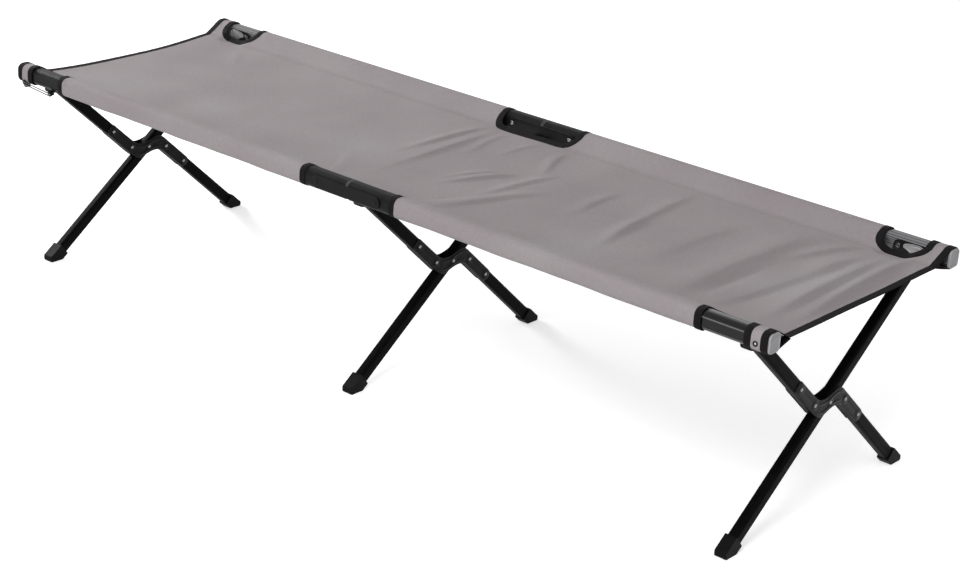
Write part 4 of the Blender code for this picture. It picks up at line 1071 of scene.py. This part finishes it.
OVERLAP = 0.010
SLEEVE_OVER = 0.0001        # how far the sleeve's start lies over the panel
SLEEVE_PITCH = 0.012
SLEEVE_FLAT = 0.30          # where the sleeve lies on the flat cloth, and its lower layer
LAYER_FLAT = 0.42
LAYER_PLAY = 0.0001
RIPPLES = (0.0003, 0.0002)  # height and length of a long and a short wave in the sleeve's lower part
RIPPLE_LENGTHS = (0.043, 0.019)
RIPPLE_TOP = 0.010          # above the rail's middle, and the height in which the ripples grow
RIPPLE_GROWTH = 0.02


def sleeve_path(grow, start=FOLD_EDGE):
    """The line of the sleeve round a rail, from the panel's edge up the panel's own slope and arc, round
    the rail and a little way back towards the seam, as distance from the middle of the cot and height."""
    half = np.array(RAIL_SIZE) / 2 - RAIL_CORNER
    below, lean = touching(SEAM_BELOW, -1, grow)
    rising = np.linspace(start, PANEL_EDGE - 0.001, 9)
    clear = np.linspace(SLEEVE_OVER, 0, 9)
    parts = [stacked(rising, np.interp(rising, *section.T) - SLEEVE_GROW + grow + clear)]
    for corner, first, last, steps in (((1, 1), np.pi / 2, 0, 10), ((1, -1), 0, -np.pi / 2, 10),
                                       ((-1, -1), -np.pi / 2, lean - np.pi / 2, 4)):
        angle = np.linspace(first, last, steps)
        arc = (RAIL_CORNER + grow) * stacked(np.cos(angle), np.sin(angle))
        parts.append((RAIL_Y, RAIL_Z) + half * corner + arc)
    return np.concatenate([*parts, below - OVERLAP * np.array([[math.cos(lean), math.sin(lean)]])])


def layer_line(grow, count):
    """The straight line below the sleeve, from the seam to where it touches the rail's arc."""
    below, _ = touching(SEAM_BELOW, -1, grow)
    return np.linspace(0, 1, count)[:, None] * (below - SEAM_BELOW) + SEAM_BELOW


def spans_of(side, end):
    """Stretches of the sleeve between the hem, the end cut-out and the middle cut-out."""
    ends, middle = CUTS[side][0 if end == -1 else 2], CUTS[side][1]
    if end == -1:
        return (-HEM_X, ends[0]), (ends[1], middle[0])
    return (middle[1], ends[0]), (ends[1], HEM_X)


def repeated(x, side, line):
    """A line across one side of the cot, repeated at each x."""
    return stacked(x[:, None], side * line[..., 0], line[..., 1])


def rolled_sheet(name, body, x, faces, across):
    """A sheet that runs straight along the cot. across holds its threads' places on the flat cloth."""
    flat = stacked(x[:, None], across)
    sheet = build(name, body, CANVAS, [shell(*faces)], flat=shell(flat, flat))
    return sheet


for side_name, side, end_name, end in CORNERS:
    for number, (start, stop) in enumerate(spans_of(side, end)):
        x = np.linspace(start, stop, max(int((stop - start) / SLEEVE_PITCH), 5))
        ripple = sum(height * np.sin(x / length + shift)
                     for height, length, shift in zip(RIPPLES, RIPPLE_LENGTHS, (side, 0)))
        outer, inner = sleeve_path(SLEEVE_GROW), sleeve_path(SLEEVE_GROW - CLOTH)
        faces = []
        for path in (outer, inner):
            grown = np.clip((RAIL_Z + RIPPLE_TOP - path[:, 1]) / RIPPLE_GROWTH, 0, 1)
            loose = 1 + ripple[:, None] / (RAIL_SIZE[1] / 2) * grown
            faces.append(repeated(x, side, (RAIL_Y, RAIL_Z) + (path - (RAIL_Y, RAIL_Z)) * loose[..., None]))
        rail, name = f"{side_name}_rail_{end_name}", f"{side_name}_sleeve_{end_name}_{number}"
        rolled_sheet(name, rail, x, faces, side * (SLEEVE_FLAT + run_along(outer)))
        line = layer_line(SLEEVE_GROW - CLOTH - LAYER_PLAY, 12) + (0, CLOTH + LAYER_PLAY)
        faces = repeated(x, side, line), repeated(x, side, line - (0, CLOTH))
        flattens(rolled_sheet(f"{side_name}_sleeve_back_{end_name}_{number}", f"near_rail_{end_name}", x,
                              faces, side * (LAYER_FLAT + run_along(line))))


# Bindings. Near-black woven tape folded over every raw edge: the cut-outs, the sleeves' ends and the
# two end hems. It is a flattened loop carried along the edge, over the panel and round the rail.

TAPE_WIDTH = 0.0142
TAPE_HALF = 0.0010
TAPE_OVER = 0.0012
TAPE_SQUARE = (0.35, 0.6)   # powers that square off its section, across and in height
TAPE_PUCKER = 0.12
PUCKER_STEP = 0.9           # angle from row to row
TAPE_UNDER = 0.003          # how far a band's start goes in over the panel
HEM_INSET = 0.0003
HEM_ROWS = 141
HEM_POWER = 1.4
CONTOUR_STEPS = 60
TAPE = cloth_finish("binding_tape", (0.006, 0.0052, 0.0055), (0.012, 0.0105, 0.011), 0.0014, 140, 0.01, 0.8,
                    specular=0.08)
turn = np.linspace(0, 2 * np.pi, 20, endpoint=False)
reach, lift = (np.sign(wave) * np.abs(wave) ** power
               for wave, power in zip((np.cos(turn), np.sin(turn)), TAPE_SQUARE))
tape_reach, tape_lift = TAPE_WIDTH / 2 * (1 + reach) - TAPE_OVER, TAPE_HALF * lift
tape_loop = stacked(tape_reach, tape_lift - CLOTH / 2)


def cut_contour(cut, side, start, stop):
    """The edge of a cut-out between two places along the cot, as x and y: a quarter ellipse, the inner
    edge and a quarter ellipse."""
    left, right, inner, _ = cut
    turn = np.linspace(0, np.pi / 2, 17)
    curve = CUT_CORNER * (1 - np.cos(turn))
    straight = np.linspace(left + CUT_CORNER, right - CUT_CORNER, CONTOUR_STEPS)[1:-1]
    x = np.concatenate([left + curve, straight, (right - curve)[::-1]])
    dip = np.concatenate([np.sin(turn), np.ones(len(straight)), np.sin(turn)[::-1]])
    ends = [place for place in (start, stop) if left < place < right]
    every = np.sort(np.concatenate([x[(x > start) & (x < stop)], ends]))
    return stacked(every, side * np.interp(every, x, PANEL_REACH - (PANEL_REACH - inner) * dip))


def taped(name, body, grid, line):
    """A piece of tape, its first and last row drawn together to their middles."""
    first, last = (np.broadcast_to(row.mean(axis=0), row.shape)[None] for row in (grid[0], grid[-1]))
    run = run_along(line)
    run = np.concatenate([run[:1], run, run[-1:]])
    flat = stacked(run[:, None], tape_reach)
    return build(name, body, TAPE, [np.concatenate([first, grid, last])], flat=flat)


def edge_tape(name, body, line, side):
    """Tape along an edge of the panel: each of its points follows the height of the cloth below."""
    along = unit(np.gradient(line, axis=0))
    inward = stacked(-along[:, 1], along[:, 0]) * -side
    place = line[:, None] + inward[:, None] * tape_reach[:, None]
    x, y = place[..., 0], place[..., 1]
    pucker = 1 + TAPE_PUCKER * np.sin(np.arange(len(line)) * PUCKER_STEP)[:, None]
    grid = stacked(bowed(x, y), y, cloth_height(x, y) - CLOTH / 2 + tape_lift * pucker)
    flattens(taped(name, body, grid, line))


def band(name, body, path, edge, into, side):
    """Tape round a sleeve's end: the loop carried along the sleeve's path, square to it."""
    along = unit(np.gradient(path, axis=0))
    line = stacked(edge, side * path[:, 0], path[:, 1])
    up = stacked(0, -side * along[:, 1], along[:, 0])
    return taped(name, body, swept(line, (into, 0, 0), up, tape_loop), path)


TAPED = {"left": (-1, LINK_LINES[0]), "middle": LINK_LINES, "right": (LINK_LINES[1], 1)}
for side_name, side in SIDES.items():
    for number, cut in enumerate(CUTS[side]):
        for stretch, (start, stop) in TAPED.items():
            line = cut_contour(cut, side, start, stop)
            if len(line) > 2:
                edge_tape(f"{side_name}_binding_{number}_{stretch}", STRETCHES[stretch][2], line, side)

even = np.linspace(-1, 1, HEM_ROWS)
for end_name, end in ENDS.items():
    y = FOLD_EDGE * np.sign(even) * (1 - (1 - np.abs(even)) ** HEM_POWER) * end
    line = stacked(end * (HEM_X - HEM_INSET), y)
    edge_tape(f"end_hem_{end_name}", STRETCHES[end_name][2], line, -1)

for side_name, side, end_name, end in CORNERS:
    for number, edges in enumerate(spans_of(side, end)):
        for edge, into in zip(edges, (1, -1)):
            name = f"{side_name}_band_{end_name}_{number}{'ab'[into < 0]}"
            path = sleeve_path(SLEEVE_GROW, FOLD_EDGE - TAPE_UNDER)
            band(name, f"{side_name}_rail_{end_name}", path, edge, into, side)
            path = layer_line(SLEEVE_GROW, 8)[::-1]
            flattens(band(name + "_back", f"near_rail_{end_name}", path, edge, into, side))


# Setting. A pale seamless floor, soft light from large lamps, and the camera at the photo's angle.

floor_mesh = bpy.data.meshes.new("floor")
floor_mesh.from_pydata([(-30, -30, 0), (30, -30, 0), (30, 30, 0), (-30, 30, 0)], [], [(0, 1, 2, 3)])
floor = bpy.data.objects.new("floor", floor_mesh)
bpy.context.scene.collection.objects.link(floor)
paper, tree, shader = new_material("paper")
set_sockets(tree, shader, Base_Color=(0.85, 0.85, 0.85, 1), Roughness=1.0)
glow = add_node(tree, "Emission", Color=(1, 1, 1, 1), Strength=0.56).outputs["Emission"]
path = add_node(tree, "LightPath").outputs
seen = calc(tree, "MAXIMUM", path["Is Camera Ray"], path["Is Glossy Ray"])
nothing = add_node(tree, "Emission", Strength=0.0).outputs["Emission"]
lit = add_node(tree, "MixShader", i0=seen, i1=nothing, i2=glow).outputs[0]
both = add_node(tree, "AddShader", i0=shader.outputs[0], i1=lit).outputs[0]
set_sockets(tree, tree.nodes["Material Output"], Surface=both)
floor_mesh.materials.append(paper)

world = bpy.data.worlds.new("studio")
bpy.context.scene.world = world
world.use_nodes = True
tree = world.node_tree
path = add_node(tree, "LightPath").outputs
plain = path["Is Camera Ray"]
for kind in ("Is Glossy Ray", "Is Transmission Ray"):
    plain = calc(tree, "MAXIMUM", plain, path[kind])
set_sockets(tree, tree.nodes["Background"], Color=(1, 1, 1, 1), Strength=remap(tree, plain, 0, 1, 0.34, 1.0))


def lamp(name, location, target, size, power):
    """A large soft area lamp that faces a point."""
    light = bpy.data.lights.new(name, "AREA")
    light.shape = "RECTANGLE"
    light.size, light.size_y = size
    light.energy = power
    holder = bpy.data.objects.new(name, light)
    holder.location = location
    holder.rotation_euler = (Vector(target) - Vector(location)).to_track_quat("-Z", "Y").to_euler()
    bpy.context.scene.collection.objects.link(holder)


lamp("key", (2.0, -4.5, 5.0), (0.0, 0, 0.35), (2.0, 2.0), 175)
lamp("left", (-4.6, 0.3, 1.5), (0.0, 0, 0.35), (1.4, 0.9), 165)
lamp("front", (0.4, -3.9, 1.3), (0.2, 0, 0.3), (3.0, 1.0), 32)

camera_data = bpy.data.cameras.new("camera")
camera = bpy.data.objects.new("camera", camera_data)
camera.location = (2.65296, -3.00784, 1.77189)
camera.rotation_euler = (1.18146, -0.05149, 0.72495)
camera_data.sensor_width = 36
camera_data.lens = 82.43
bpy.context.scene.collection.objects.link(camera)
bpy.context.scene.camera = camera
bpy.context.scene.view_settings.view_transform = "Standard"
